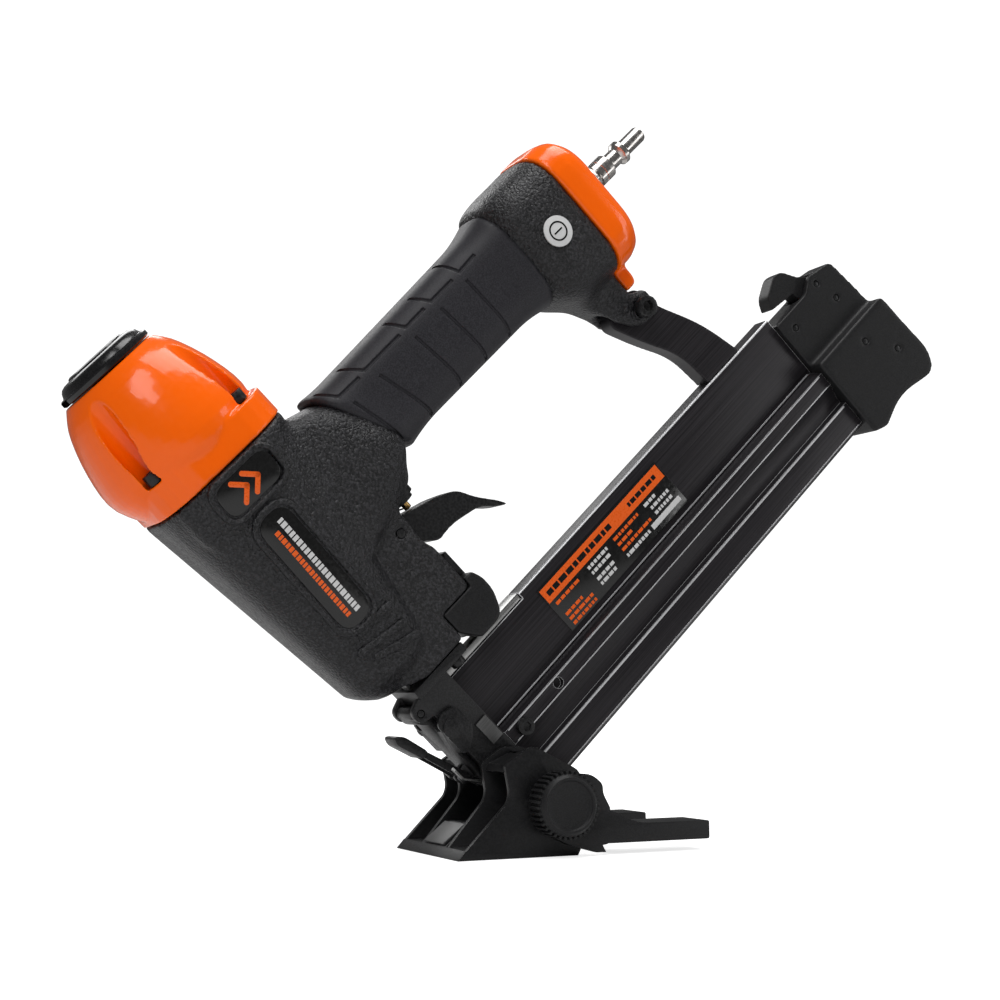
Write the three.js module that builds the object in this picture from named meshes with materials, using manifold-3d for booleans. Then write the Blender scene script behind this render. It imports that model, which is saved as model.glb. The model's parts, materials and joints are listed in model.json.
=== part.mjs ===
// Pneumatic flooring nailer that stands on its own shoe.
//
// World frame: +Z up, the origin is the middle of the sole, the handle and the magazine
// rise towards +X, and -Y is the left side.
// Tool frame: z runs up the driver's line, x runs back along the handle and the magazine.
// The tool frame leans by the nailing angle, so the nail enters the board's edge at a slant.
import * as THREE from 'three';
import { mergeVertices } from 'three/addons/utils/BufferGeometryUtils.js';
import Module from 'manifold-3d';

const wasm = await Module();
wasm.setup();

// ---------- Driving dimensions, in millimetres ----------

const gap = 0.3; // between pieces that touch
const nailingAngle = Math.PI / 4;
const nailLineX = 36; // where the driver's line meets the floor, behind the sole's middle

// Barrel of the main housing
const barrelTopHalf = 35.5;
const barrelTopShift = 3.5; // the seam stands this far back from the driver's line
const barrelCornerRadius = 28;
const barrelFootRadius = 21.5;
const barrelFootZ = 118;
const barrelFloorZ = 107;
const seamZ = 231; // where the cylinder cap meets the housing
const boreRadius = 18.2;
const reservoirWall = 4.5;

// Cylinder cap, exhaust cover and their screws
const capShoulderRadius = 38;
const capTopRadius = 23.5;
const capHeight = 59;
const capWall = 4.5;
const exhaustBore = 9;
const coverRadius = 23.5;
const coverHeight = 9;
const capScrewSpread = 24; // each way from the middle of the four
const capScrewShift = 1.5; // the middle of the four stands this far behind the driver's line
const capScrewHeadRadius = 4.25;
const capScrewHeadHeight = 5;
const capScrewLength = 18;
const capScrewRadius = 2.5;
const capScrewBossRadius = 5.2;

// Cylinder, piston and driver
const cylinderWall = 2;
const pistonHeight = 12;
const bladeThickness = 1.4;
const bladeWidth = 6.4;
const bumperHeight = 10;
const headValveRadius = 24;
const headValveHeight = 14;
const headValveLift = 5;

// Handle, grip and tail
const handleZ = 202; // height of the handle's middle line where the grip starts
const handleRise = 2.3; // how much higher the middle line is at the tail
const handleHalfHeight = 18.8;
const handleSwell = 2.3; // how much the half height grows towards the tail
const handleHalfWidth = 15.5;
const handleWall = 3.5;
const gripWall = 3.2;
const gripRise = 51; // how far back the grip starts at its upper front corner
const gripLean = 24; // how much further back it starts at its lower edge
const tailX = 172;
const seamX = 207; // where the end cap meets the tail
const tailHalfHeight = 34.2;
const tailHalfWidth = 27;
const endCapLength = 21;
const endCapWall = 4;

// Air plug
const plugHexAcross = 14.3;
const plugHexLength = 8;
const plugBodyRadius = 6;
const plugBodyLength = 12;
const plugNeckRadius = 4.2;
const plugTipRadius = 4;
const plugLength = 44;
const plugRise = 2.2; // above the handle's middle line

// Web under the handle, with the trigger between its cheeks
const webHalfWidth = 16;
const webBackX = 48.5;
const webFloorZ = 103;
const triggerPivotX = 41.5;
const triggerPivotZ = 155.5;
const triggerHalfWidth = 6.5;
const triggerReach = 50;
const triggerPinRadius = 2;
const valveX = 57;
const valveRadius = 7;
const valveFloorZ = 163;
const stemRadius = 1.8;

// Contact yoke behind the web and the cover over its lower end
const yokeThickness = 1.8;
const yokeHalfWidth = 5;
const yokeDepth = 6; // from the web to the strip's outer face
const yokeTopZ = 133.5;
const yokeCoverProud = 1.2; // beyond the strip's outer face

// Nosepiece, door and quick latch
const noseFrontX = -3;
const noseBackX = 14.5;
const noseHalfWidth = 13;
const noseTipZ = 15;
const doorHingeX = noseFrontX - 3.8;
const doorHingeZ = 93.5;
const doorThickness = 2.6;
const doorLength = 42;
const doorHalfWidth = 11;
const leverPivotX = noseFrontX - 6.4;
const leverPivotZ = 56.5;
const leverLength = 39;
const leverLean = 0.3; // radians, away from the nosepiece
const leverHalfWidth = 6;

// Magazine: thin fixed channel above, wide sliding magazine below
const channelTopZ = 96;
const channelHalfWidth = 6;
const channelWall = 1.6;
const magazineSplitZ = 61;
const magazineHalfWidth = 13;
const magazineFloorZ = 25;
const magazineBackX = 256.5;
const ledgeDrop = 1.6;
const grooveTopZ = 51;
const grooveFloorZ = 40;
const grooveDepth = 3.6;
const capStripStartX = 66;
const railDepth = 3.4;

// End block and release latch
const blockLength = 53;
const blockFloorZ = 15.5;
const blockTopZ = 94;
const pusherX = 40; // the pusher's rest, at the front of the channel
const pusherLength = 26;
const blockNarrowHalf = 8.8;
const blockWideHalf = 16.4;
const blockStepZ = 64;
const latchHalfWidth = 5;

// Arm from the tail down to the magazine
const armHalfWidth = 5.5;
const armScrewX = 206;
const armScrewZ = 146;
const armScrewRadius = 3;
const armFootX = 210;
const armFootLength = 24;

// Shoe
const soleHalfLength = 28;
const soleHalfWidth = 37;
const solePlate = 4;
const shoeWall = 2.5;
const ribInner = magazineHalfWidth + 0.4;
const kinkX = -4.9;
const kinkZ = 23.5;
const shoeTopZ = 47.5;

// Adjustable foot and its two knobs
const knobX = 17;
const knobZ = 22.4;
const knobRadius = 14.5;
const knobDepth = 12.5;
const knobStudRadius = 3;
const footPlate = 3.7;
const footTravel = 9;
const prongBackX = 91;
const prongFloorZ = 4.8;
const prongTopZ = 12.9;
const prongInnerY = 18.5;

// ---------- Shape helpers ----------

/** Turns a standing piece to lie along x, its outline in y and z. */
const alongX = new THREE.Matrix4().makeBasis(
  new THREE.Vector3(0, 1, 0),
  new THREE.Vector3(0, 0, 1),
  new THREE.Vector3(1, 0, 0),
);

/** Corners as [a, b] or [a, b, radius]; a radius rounds its corner. */
function rounded(corners) {
  const shape = new THREE.Shape();
  const count = corners.length;
  corners.forEach(([a, b, radius = 0], i) => {
    const corner = new THREE.Vector2(a, b);
    const before = new THREE.Vector2(...corners[(i + count - 1) % count].slice(0, 2)).sub(corner);
    const after = new THREE.Vector2(...corners[(i + 1) % count].slice(0, 2)).sub(corner);
    const reach = Math.min(radius, before.length() * 0.49, after.length() * 0.49);
    const entry = corner.clone().add(before.setLength(reach));
    const exit = corner.clone().add(after.setLength(reach));
    if (i === 0) {
      shape.moveTo(entry.x, entry.y);
    } else {
      shape.lineTo(entry.x, entry.y);
    }
    if (reach > 0) {
      shape.quadraticCurveTo(corner.x, corner.y, exit.x, exit.y);
    }
  });
  shape.closePath();
  return shape;
}

/** A rectangle about its middle. */
function rectangle(halfA, halfB, radius = 0, midA = 0, midB = 0) {
  return [
    [midA - halfA, midB - halfB, radius],
    [midA + halfA, midB - halfB, radius],
    [midA + halfA, midB + halfB, radius],
    [midA - halfA, midB + halfB, radius],
  ];
}

function extruded(corners, depth, curveSegments) {
  return new THREE.ExtrudeGeometry(rounded(corners), { depth, curveSegments, bevelEnabled: false });
}

/** Outline in x and z, thick from y0 to y1. */
function plate(corners, y0, y1, curveSegments = 4) {
  return extruded(corners, y1 - y0, curveSegments).rotateX(Math.PI / 2).translate(0, y1, 0);
}

/** Outline in x and y, standing from z0 to z1. */
function column(corners, z0, z1, curveSegments = 4) {
  return extruded(corners, z1 - z0, curveSegments).translate(0, 0, z0);
}

/** Outline in y and z, running from x0 to x1. */
function beam(corners, x0, x1, curveSegments = 4) {
  return extruded(corners, x1 - x0, curveSegments).applyMatrix4(alongX).translate(x0, 0, 0);
}

/**
 * One standing body through several rings, each [z, scaleX, scaleY, shiftX, shiftY] of the outline.
 */
function lofted(corners, rings, curveSegments = 7) {
  const geometry = new THREE.ExtrudeGeometry(rounded(corners), {
    depth: rings.length - 1,
    steps: rings.length - 1,
    curveSegments,
    bevelEnabled: false,
  });
  const spots = geometry.attributes.position;
  for (let i = 0; i < spots.count; i += 1) {
    const [z, scaleX, scaleY, shiftX = 0, shiftY = 0] = rings[Math.round(spots.getZ(i))];
    spots.setXYZ(i, spots.getX(i) * scaleX + shiftX, spots.getY(i) * scaleY + shiftY, z);
  }
  return geometry;
}

/** The same body lying along x: the outline is in y and z, each ring [x, scaleY, scaleZ, 0, shiftZ]. */
function loftedBeam(corners, rings, curveSegments = 7) {
  return lofted(corners, rings, curveSegments).applyMatrix4(alongX);
}

/** Profile of [radius, z] turned about the z axis. */
function turned(profile, sides = 36) {
  const points = profile.map(([radius, z]) => new THREE.Vector2(radius, z));
  return new THREE.LatheGeometry(points, sides).rotateX(Math.PI / 2);
}

function rodZ(radius, z0, z1, sides = 16) {
  return new THREE.CylinderGeometry(radius, radius, z1 - z0, sides)
    .rotateX(Math.PI / 2).translate(0, 0, (z0 + z1) / 2);
}

function rodY(radius, y0, y1, sides = 16) {
  return new THREE.CylinderGeometry(radius, radius, y1 - y0, sides).translate(0, (y0 + y1) / 2, 0);
}

function rodX(radius, x0, x1, sides = 16) {
  return new THREE.CylinderGeometry(radius, radius, x1 - x0, sides)
    .rotateZ(Math.PI / 2).translate((x0 + x1) / 2, 0, 0);
}

function block(x0, x1, y0, y1, z0, z1) {
  return new THREE.BoxGeometry(x1 - x0, y1 - y0, z1 - z0)
    .translate((x0 + x1) / 2, (y0 + y1) / 2, (z0 + z1) / 2);
}

/** A wire of round section swept along a curve. */
function wire(curve, radius, steps, sides = 8) {
  const section = new THREE.Shape();
  for (let i = 0; i < sides; i += 1) {
    const angle = (i / sides) * 2 * Math.PI;
    const a = radius * Math.cos(angle);
    const b = radius * Math.sin(angle);
    if (i === 0) {
      section.moveTo(a, b);
    } else {
      section.lineTo(a, b);
    }
  }
  section.closePath();
  return new THREE.ExtrudeGeometry(section, { steps, extrudePath: curve, bevelEnabled: false });
}

/** Coil spring's middle line, turning about the z axis. */
class Coil extends THREE.Curve {
  constructor(radius, z0, z1, turns) {
    super();
    Object.assign(this, { radius, z0, z1, turns });
  }

  getPoint(share, target = new THREE.Vector3()) {
    const angle = share * this.turns * 2 * Math.PI;
    const z = this.z0 + (this.z1 - this.z0) * share;
    return target.set(this.radius * Math.cos(angle), this.radius * Math.sin(angle), z);
  }
}

/** Turns a closed geometry into a solid that can be joined and cut. */
function solid(geometry) {
  const bare = geometry.clone();
  bare.deleteAttribute('normal');
  bare.deleteAttribute('uv');
  const merged = mergeVertices(bare, 1e-4);
  const corners = merged.index.array;
  const kept = [];
  for (let i = 0; i < corners.length; i += 3) {
    const [a, b, c] = [corners[i], corners[i + 1], corners[i + 2]];
    if (a !== b && b !== c && c !== a) {
      kept.push(a, b, c);
    }
  }
  const shell = new wasm.Mesh({
    numProp: 3,
    vertProperties: new Float32Array(merged.attributes.position.array),
    triVerts: new Uint32Array(kept),
  });
  return new wasm.Manifold(shell);
}

function joined(...geometries) {
  return geometries.map(solid).reduce((whole, piece) => whole.add(piece));
}

function cut(body, ...geometries) {
  return geometries.map(solid).reduce((whole, piece) => whole.subtract(piece), body);
}

function geometryOf(body) {
  const shell = body.getMesh();
  const geometry = new THREE.BufferGeometry();
  geometry.setAttribute('position', new THREE.BufferAttribute(shell.vertProperties, 3));
  geometry.setIndex(new THREE.BufferAttribute(shell.triVerts, 1));
  geometry.computeVertexNormals();
  return geometry;
}

const finishes = {
  wrinkleBlack: { color: 0x1c1c1e, roughness: 0.75, metalness: 0.1 },
  orange: { color: 0xff5a00, roughness: 0.25, metalness: 0 },
  rubber: { color: 0x2a2a2c, roughness: 0.7, metalness: 0 },
  anodised: { color: 0x1a191c, roughness: 0.4, metalness: 0.8 },
  steel: { color: 0x9a9a98, roughness: 0.35, metalness: 1 },
  nickel: { color: 0xd0d0d0, roughness: 0.15, metalness: 1 },
  blackOxide: { color: 0x151515, roughness: 0.45, metalness: 0.7 },
  plastic: { color: 0x222224, roughness: 0.6, metalness: 0 },
  glossBlack: { color: 0x0c0c0c, roughness: 0.15, metalness: 0 },
  brass: { color: 0xb08d4a, roughness: 0.3, metalness: 1 },
  aluminium: { color: 0xb8b8b8, roughness: 0.35, metalness: 1 },
  urethane: { color: 0x8a3a1a, roughness: 0.6, metalness: 0 },
  foil: { color: 0xc9c9c9, roughness: 0.4, metalness: 0 },
};

const nailer = new THREE.Group();
const tool = new THREE.Group(); // leaning frame
tool.rotation.y = -nailingAngle;
tool.position.x = nailLineX;
nailer.add(tool);

/** Adds a named piece; its shape is a solid or a closed geometry. */
function add(name, shape, finish, parent = tool) {
  const geometry = shape instanceof THREE.BufferGeometry ? shape : geometryOf(shape);
  const mesh = new THREE.Mesh(geometry, new THREE.MeshStandardMaterial(finishes[finish]));
  mesh.name = name;
  parent.add(mesh);
  return mesh;
}

/** Socket-head screw: head above z = 0, shank below. */
function socketScrew(headRadius, headHeight, shankRadius, length) {
  const body = joined(rodZ(headRadius, 0, headHeight, 14), rodZ(shankRadius, -length, 0.01, 8));
  const key = rodZ(headRadius * 0.55, headHeight * 0.45, headHeight + 1, 6);
  return cut(body, key);
}

// ---------- Main housing ----------

const barrelFootScale = barrelFootRadius / barrelTopHalf;
const barrelLean = Math.atan((barrelTopHalf - barrelFootRadius) / (seamZ - barrelFootZ));
const handleFloorZ = handleZ - handleHalfHeight;
const gripFloorZ = handleFloorZ - gripWall;
const gripTopZ = handleZ + handleHalfHeight + gripWall;
const gripFrontTopX = gripRise;
const gripFrontFloorX = gripRise + gripLean;
const reservoirFloorZ = barrelFootZ + reservoirWall;
const cylinderHoldZ = reservoirFloorZ + 10; // the cylinder is held up to here
const reservoirTopRadius = barrelTopHalf - barrelTopShift - reservoirWall;
const reservoirFootRadius = boreRadius + gap;

function barrelSection() {
  return rectangle(barrelTopHalf, barrelTopHalf, barrelCornerRadius);
}

function ring(z, scale, shift = 0) {
  return [z, scale, scale, shift];
}

function barrelBody() {
  const drop = barrelFootZ - barrelFloorZ;
  return lofted(barrelSection(), [
    ring(barrelFloorZ, barrelFootScale * 0.4),
    ring(barrelFloorZ + drop * 0.24, barrelFootScale * 0.66),
    ring(barrelFloorZ + drop * 0.6, barrelFootScale * 0.86),
    ring(barrelFootZ, barrelFootScale),
    ring(seamZ, 1, barrelTopShift),
  ]);
}

/** Side outline of the web that carries the trigger and joins barrel and handle. */
function webOutline() {
  return [
    [-4, webFloorZ + 4],
    [6, webFloorZ, 3],
    [30, webFloorZ, 2],
    [30, webFloorZ + 14],
    [webBackX, webFloorZ + 14, 2],
    [webBackX, triggerPivotZ - 14, 3],
    [triggerPivotX + 5, triggerPivotZ - 10, 2],
    [triggerPivotX + 6.5, triggerPivotZ + 8, 2],
    [66, triggerPivotZ + 11, 4],
    [66, gripFloorZ + 3],
    [-4, gripFloorZ + 3],
  ];
}

/** Broad shoulder that swells from the barrel into the grip. */
function shoulderOutline() {
  return [
    [-4, handleFloorZ - 32],
    [30, handleFloorZ - 22, 12],
    [gripFrontFloorX, gripFloorZ + 0.5, 8],
    [gripFrontTopX, gripTopZ, 4],
    [-4, gripTopZ],
  ];
}

function handleHalf(x) {
  return handleHalfHeight + (handleSwell * (x - gripRise)) / (tailX - gripRise);
}

function handleMidZ(x) {
  return handleZ + (handleRise * (x - gripRise)) / (tailX - gripRise);
}

/** The handle's bar from x0 to x1, its faces moved out by the given amount. */
function handleBar(outset, x0, x1, radius = 12 + outset) {
  const half = handleHalfHeight + outset;
  const section = rectangle(handleHalfWidth + outset, half, radius);
  const stations = [x0, x1].map((x) => [x, 1, (handleHalf(x) + outset) / half, 0, handleMidZ(x)]);
  return loftedBeam(section, stations);
}

const tailMidZ = handleZ - 0.7;

/** Tail that flares from the handle out to the end cap, mostly downwards. */
function tailFlare() {
  const width = (handleHalfWidth + gripWall + 3) / tailHalfWidth;
  const height = (handleHalf(tailX) + gripWall + 4.5) / tailHalfHeight;
  return loftedBeam(rectangle(tailHalfWidth, tailHalfHeight, 20), [
    [tailX, width, height, 0, tailMidZ + 4],
    [tailX + 9, 0.98, 0.96, 0, tailMidZ + 1],
    [tailX + 13, 1, 1, 0, tailMidZ],
    [seamX, 1, 1, 0, tailMidZ],
  ]);
}

function lugOutline() {
  const tailFloorZ = tailMidZ - tailHalfHeight;
  return [
    [tailX + 10, tailFloorZ + 8],
    [tailX + 11, tailFloorZ, 6],
    [armScrewX - 18, armScrewZ + 9, 6],
    [armScrewX - 7, armScrewZ - 6, 5],
    [armScrewX + 7, armScrewZ - 7, 5],
    [armScrewX + 8, armScrewZ + 6, 3],
    [seamX - 1, armScrewZ + 9],
    [seamX - 1, tailFloorZ + 8],
  ];
}

/** Puts a piece made on the x-z plane, with -y outwards, onto the barrel's left face. */
function onBarrelSide(geometry, z) {
  const reach = barrelTopHalf - (seamZ - z) * Math.tan(barrelLean);
  return geometry.rotateX(barrelLean).translate(0, -reach, z);
}

const labelPad = { halfWidth: 10.5, halfHeight: 33, z: (seamZ + barrelFootZ) / 2, x: -1 };
const nameplatePad = { halfWidth: 17, halfHeight: 9.5, z: seamZ - 11, x: 1.5 };
const padProud = 1.4;
const plateThickness = 0.9;

function padOutline(pad, inset, radius) {
  return rectangle(pad.halfWidth - inset, pad.halfHeight - inset, radius, pad.x, 0);
}

function mainHousing() {
  const pads = [
    onBarrelSide(plate(padOutline(labelPad, 0, 9), -padProud, 9), labelPad.z),
    onBarrelSide(plate(padOutline(nameplatePad, 0, 7), -padProud, 9), nameplatePad.z),
  ];
  let body = joined(
    barrelBody(),
    ...capScrewSpots().map(([x, y]) => turned([
      [0, seamZ - capScrewLength - 12],
      [capScrewBossRadius, seamZ - capScrewLength],
      [capScrewBossRadius, seamZ],
      [0, seamZ],
    ], 12).translate(x, y, 0)),
    plate(webOutline(), -webHalfWidth, webHalfWidth),
    plate(shoulderOutline(), -handleHalfWidth - 8, handleHalfWidth + 8),
    handleBar(0, 40, tailX + 10),
    tailFlare(),
    plate(lugOutline(), -armHalfWidth - 6, armHalfWidth + 6),
    ...pads,
  );
  const floor = reservoirFloorZ;
  const reservoir = turned([
    [0, floor],
    [reservoirFootRadius, floor],
    [reservoirFootRadius, cylinderHoldZ],
    [reservoirTopRadius, seamZ - 12],
    [reservoirTopRadius, seamZ + 1],
    [0, seamZ + 1],
  ]);
  const tailHollow = beam(
    rectangle(tailHalfWidth - 5, tailHalfHeight - 5, 15, 0, tailMidZ), tailX + 16, seamX + 1,
  );
  body = cut(
    body,
    reservoir,
    handleBar(-handleWall, 20, tailX + 20),
    tailHollow,
    block(-bladeThickness / 2 - 1, bladeThickness / 2 + 1, -bladeWidth / 2 - 1, bladeWidth / 2 + 1,
      webFloorZ - 2, floor + 1),
    block(30, 80, -triggerHalfWidth - 1, triggerHalfWidth + 1,
      triggerPivotZ - 16, valveFloorZ),
    rodZ(valveRadius + gap, valveFloorZ - 1, handleZ, 20).translate(valveX, 0, 0),
    rodY(triggerPinRadius + gap, -webHalfWidth - 1, webHalfWidth + 1, 16)
      .translate(triggerPivotX, 0, triggerPivotZ),
    block(170, seamX + 12, -armHalfWidth - gap, armHalfWidth + gap,
      armScrewZ - 20, armScrewZ + 11),
    rodY(armScrewRadius + gap, -20, 20, 16).translate(armScrewX, 0, armScrewZ),
  );
  for (const [x, y] of capScrewSpots()) {
    const hole = rodZ(capScrewRadius + gap, seamZ - capScrewLength, seamZ + 1, 12)
      .translate(x, y, 0);
    body = cut(body, hole);
  }
  for (const y of noseScrewYs) {
    body = cut(body, rodZ(noseScrewRadius + gap, 90, webFloorZ + 13, 12).translate(noseScrewX, y, 0));
  }
  const recess = padProud + 0.2;
  return cut(
    body,
    onBarrelSide(plate(padOutline(labelPad, 1.8, 8), -padProud - 1, recess - padProud), labelPad.z),
    onBarrelSide(
      plate(padOutline(nameplatePad, 1.8, 6), -padProud - 1, recess - padProud),
      nameplatePad.z,
    ),
  );
}

function capScrewSpots() {
  const front = capScrewShift - capScrewSpread;
  const back = capScrewShift + capScrewSpread;
  const side = capScrewSpread;
  return [[front, -side], [back, -side], [back, side], [front, side]];
}

const noseScrewX = 22;
const noseScrewYs = [-10.5, 10.5];
const noseScrewRadius = 2;

add('main_housing', mainHousing(), 'wrinkleBlack');

function sidePlate(pad, radius) {
  const outline = padOutline(pad, 2.1, radius);
  const face = 0.2 - gap;
  return onBarrelSide(plate(outline, face - plateThickness, face), pad.z);
}

add('side_label', sidePlate(labelPad, 8), 'glossBlack');
add('name_plate', sidePlate(nameplatePad, 6), 'glossBlack');

// ---------- Grip ----------

function gripSleeve() {
  const outer = handleBar(gripWall, gripFrontTopX - 5, tailX + 5);
  const body = cut(solid(outer), handleBar(gap, gripFrontTopX - 10, tailX + 10));
  const low = gripFloorZ - 5;
  const high = gripTopZ + 10;
  const frontCut = plate([
    [gripFrontTopX - 20, low],
    [gripFrontFloorX + gap + 2.2, low],
    [gripFrontTopX + gap - 2, high],
    [gripFrontTopX - 20, high],
  ], -30, 30);
  const tailCut = block(tailX - gap, tailX + 20, -30, 30, low, high);
  return cut(body, frontCut, tailCut, plate(shoulderOutline(), -25, 25));
}

add('grip_sleeve', gripSleeve(), 'rubber');

// ---------- Cylinder cap, exhaust cover and cap screws ----------

const capFloorZ = seamZ + gap;
const capTopZ = capFloorZ + capHeight;
const capLedgeZ = capFloorZ + 13.5;

function cylinderCap() {
  const flange = column(barrelSection(), capFloorZ, capLedgeZ, 7).translate(barrelTopShift, 0, 0);
  const domeLine = new THREE.SplineCurve([
    new THREE.Vector2(barrelTopHalf - barrelTopShift - 0.5, capFloorZ + 1),
    new THREE.Vector2(capShoulderRadius, capFloorZ + 16),
    new THREE.Vector2(capShoulderRadius - 2, capFloorZ + 33),
    new THREE.Vector2(capShoulderRadius - 8, capTopZ - 9),
    new THREE.Vector2(capTopRadius, capTopZ),
  ]);
  const dome = turned([
    [0, capFloorZ + 1],
    ...domeLine.getPoints(14).map((point) => [point.x, point.y]),
    [0, capTopZ],
  ], 56);
  let body = joined(flange, dome);
  const inside = headValveRadius + 1;
  body = cut(body, turned([
    [0, capFloorZ - 1],
    [inside, capFloorZ - 1],
    [inside, capFloorZ + 34],
    [inside - 8, capTopZ - capWall - 4],
    [exhaustBore, capTopZ - capWall],
    [exhaustBore, capTopZ + 1],
    [0, capTopZ + 1],
  ]));
  for (const [x, y] of capScrewSpots()) {
    body = cut(
      body,
      rodZ(capScrewHeadRadius + 1.6, capLedgeZ, capTopZ, 24).translate(x, y, 0),
      rodZ(capScrewRadius + gap, capFloorZ - 1, capTopZ, 12).translate(x, y, 0),
    );
  }
  return body;
}

add('cylinder_cap', cylinderCap(), 'orange');

capScrewSpots().forEach(([x, y], i) => {
  const length = capScrewLength + capLedgeZ - seamZ - 1;
  const screw = socketScrew(capScrewHeadRadius, capScrewHeadHeight, capScrewRadius, length);
  add(`cap_screw_${i + 1}`, screw, 'blackOxide').position.set(x, y, capLedgeZ + gap);
});

/** Hub that the exhaust cover turns on: it plugs the cap's bore and has the outlets. */
function exhaustHub() {
  const body = solid(turned([
    [0, capTopZ - capWall + 1],
    [exhaustBore - gap, capTopZ - capWall + 1],
    [exhaustBore - gap, capTopZ + coverHeight - 3],
    [exhaustBore + 2.2, capTopZ + coverHeight - 3],
    [exhaustBore + 2.2, capTopZ + coverHeight - 0.8],
    [0, capTopZ + coverHeight - 0.8],
  ], 24));
  const mouths = [0, 1, 2].map((i) => block(-2.5, 2.5, -exhaustBore - 3, exhaustBore + 3,
    capTopZ - capWall - 1, capTopZ + 1.6).rotateZ((i * Math.PI) / 3));
  return cut(body, ...mouths);
}

/** Round deflector with one side mouth that sends the air away from the user. */
function exhaustCover() {
  const top = capTopZ + coverHeight;
  const body = solid(turned([
    [exhaustBore + 0.1, capTopZ + gap],
    [coverRadius - 1, capTopZ + gap],
    [coverRadius, capTopZ + 2],
    [coverRadius, capTopZ + 4.5],
    [coverRadius - 5, top - 1],
    [exhaustBore + 3, top],
    [exhaustBore + 2.6, top - 3 - gap],
    [exhaustBore + 0.1, top - 3 - gap],
    [exhaustBore + 0.1, capTopZ + gap],
  ]));
  const mouth = block(-coverRadius - 1, -exhaustBore, -6, 6, capTopZ - 1, capTopZ + 3.4);
  const hood = plate([
    [-coverRadius + 1.2, capTopZ + 3.6],
    [-coverRadius + 7, capTopZ + 3.6],
    [-coverRadius + 8, top + 0.8, 1],
    [-coverRadius + 4.5, top + 0.8, 1],
  ], -6, 6);
  return cut(body, mouth).add(solid(hood));
}

add('exhaust_hub', exhaustHub(), 'glossBlack');
add('exhaust_cover', exhaustCover(), 'glossBlack');

// ---------- Cylinder, piston, driver and head valve ----------

const cylinderOuter = boreRadius;
const cylinderInner = boreRadius - cylinderWall;
const cylinderTopZ = seamZ - 6;
const pistonRestZ = cylinderTopZ - pistonHeight;
const bumperFloorZ = reservoirFloorZ + gap;
const driverStroke = pistonRestZ - bumperFloorZ - bumperHeight - gap;

add('cylinder_sleeve', turned([
  [cylinderInner, bumperFloorZ],
  [cylinderOuter, bumperFloorZ],
  [cylinderOuter, cylinderTopZ],
  [cylinderInner, cylinderTopZ],
  [cylinderInner, bumperFloorZ],
]), 'aluminium');

add('bumper', cut(
  solid(rodZ(cylinderInner - 1, bumperFloorZ, bumperFloorZ + bumperHeight, 24)),
  rodZ(5, bumperFloorZ - 1, bumperFloorZ + bumperHeight + 1, 16),
), 'urethane');

function piston() {
  const seal = cylinderInner - 0.1;
  const groove = cylinderInner - 2;
  return turned([
    [0, 0],
    [seal - 1, 0],
    [seal, 1],
    [seal, 3],
    [groove, 3],
    [groove, 5],
    [seal, 5],
    [seal, pistonHeight],
    [seal - 4, pistonHeight],
    [seal - 5, pistonHeight - 3],
    [0, pistonHeight - 3],
  ], 28);
}

add('piston', piston(), 'aluminium').position.z = pistonRestZ;

const bladeFloorZ = noseTipZ + driverStroke - 1;
add('driver_blade', block(
  -bladeThickness / 2, bladeThickness / 2, -bladeWidth / 2, bladeWidth / 2,
  bladeFloorZ, pistonRestZ - gap,
), 'steel');

const headValveZ = cylinderTopZ + gap;
function headValve() {
  const rim = headValveRadius;
  return turned([
    [0, headValveZ],
    [rim - 6, headValveZ],
    [rim - 6, seamZ + 1],
    [rim, seamZ + 1],
    [rim, seamZ + headValveHeight - 3],
    [rim - 8, seamZ + headValveHeight],
    [6, seamZ + headValveHeight],
    [6, seamZ + headValveHeight - 5],
    [0, seamZ + headValveHeight - 5],
  ]);
}

add('head_valve', headValve(), 'plastic');

const valveSpringWire = 1.1;
const valveSpringFloorZ = seamZ + headValveHeight + valveSpringWire + gap;
const valveSpringTopZ = capTopZ - capWall - 3.4 - valveSpringWire;
add(
  'head_valve_spring',
  wire(new Coil(13, valveSpringFloorZ, valveSpringTopZ, 4), valveSpringWire, 40, 5),
  'steel',
);

// ---------- Tail: end cap, air plug, screws and badge ----------

const endCapX = seamX + gap;
const plugZ = handleZ + plugRise;

function endCapSection(inset) {
  return rectangle(tailHalfWidth - inset, tailHalfHeight - inset, 20 - inset);
}

/** Rings of the end cap's dome from its seam at x0, as shares of its length. */
function endCapRings(x0, length) {
  const shape = [[0, 1], [0.42, 1], [0.68, 0.95], [0.87, 0.83], [1, 0.62]];
  return shape.map(([share, scale]) => [x0 + share * length, scale, scale, 0, tailMidZ]);
}

function endCap() {
  const tab = plate([
    [endCapX, tailMidZ - tailHalfHeight + 4],
    [endCapX, armScrewZ + 10],
    [endCapX + 7, armScrewZ + 10, 3],
    [endCapX + 8, tailMidZ - tailHalfHeight + 4],
  ], -9, 9);
  const hollow = loftedBeam(endCapSection(endCapWall), [
    [endCapX - 1, 1, 1, 0, tailMidZ],
    ...endCapRings(endCapX, endCapLength - endCapWall).slice(1),
  ]);
  let body = joined(loftedBeam(endCapSection(-0.5), endCapRings(endCapX, endCapLength)), tab);
  body = cut(
    body,
    hollow,
    rodX(plugNeckRadius + gap, endCapX, endCapX + endCapLength + 1, 20).translate(0, 0, plugZ),
  );
  for (const z of endCapScrewZs()) {
    body = cut(
      body,
      rodX(2.2 + gap, endCapX - 1, endCapX + endCapLength, 12).translate(0, 0, z),
      rodX(4.6, endCapX + endCapLength - 3, endCapX + endCapLength + 1, 16).translate(0, 0, z),
    );
  }
  return body;
}

function endCapScrewZs() {
  return [plugZ - 16, plugZ + 14];
}

add('end_cap', endCap(), 'orange');

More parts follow.
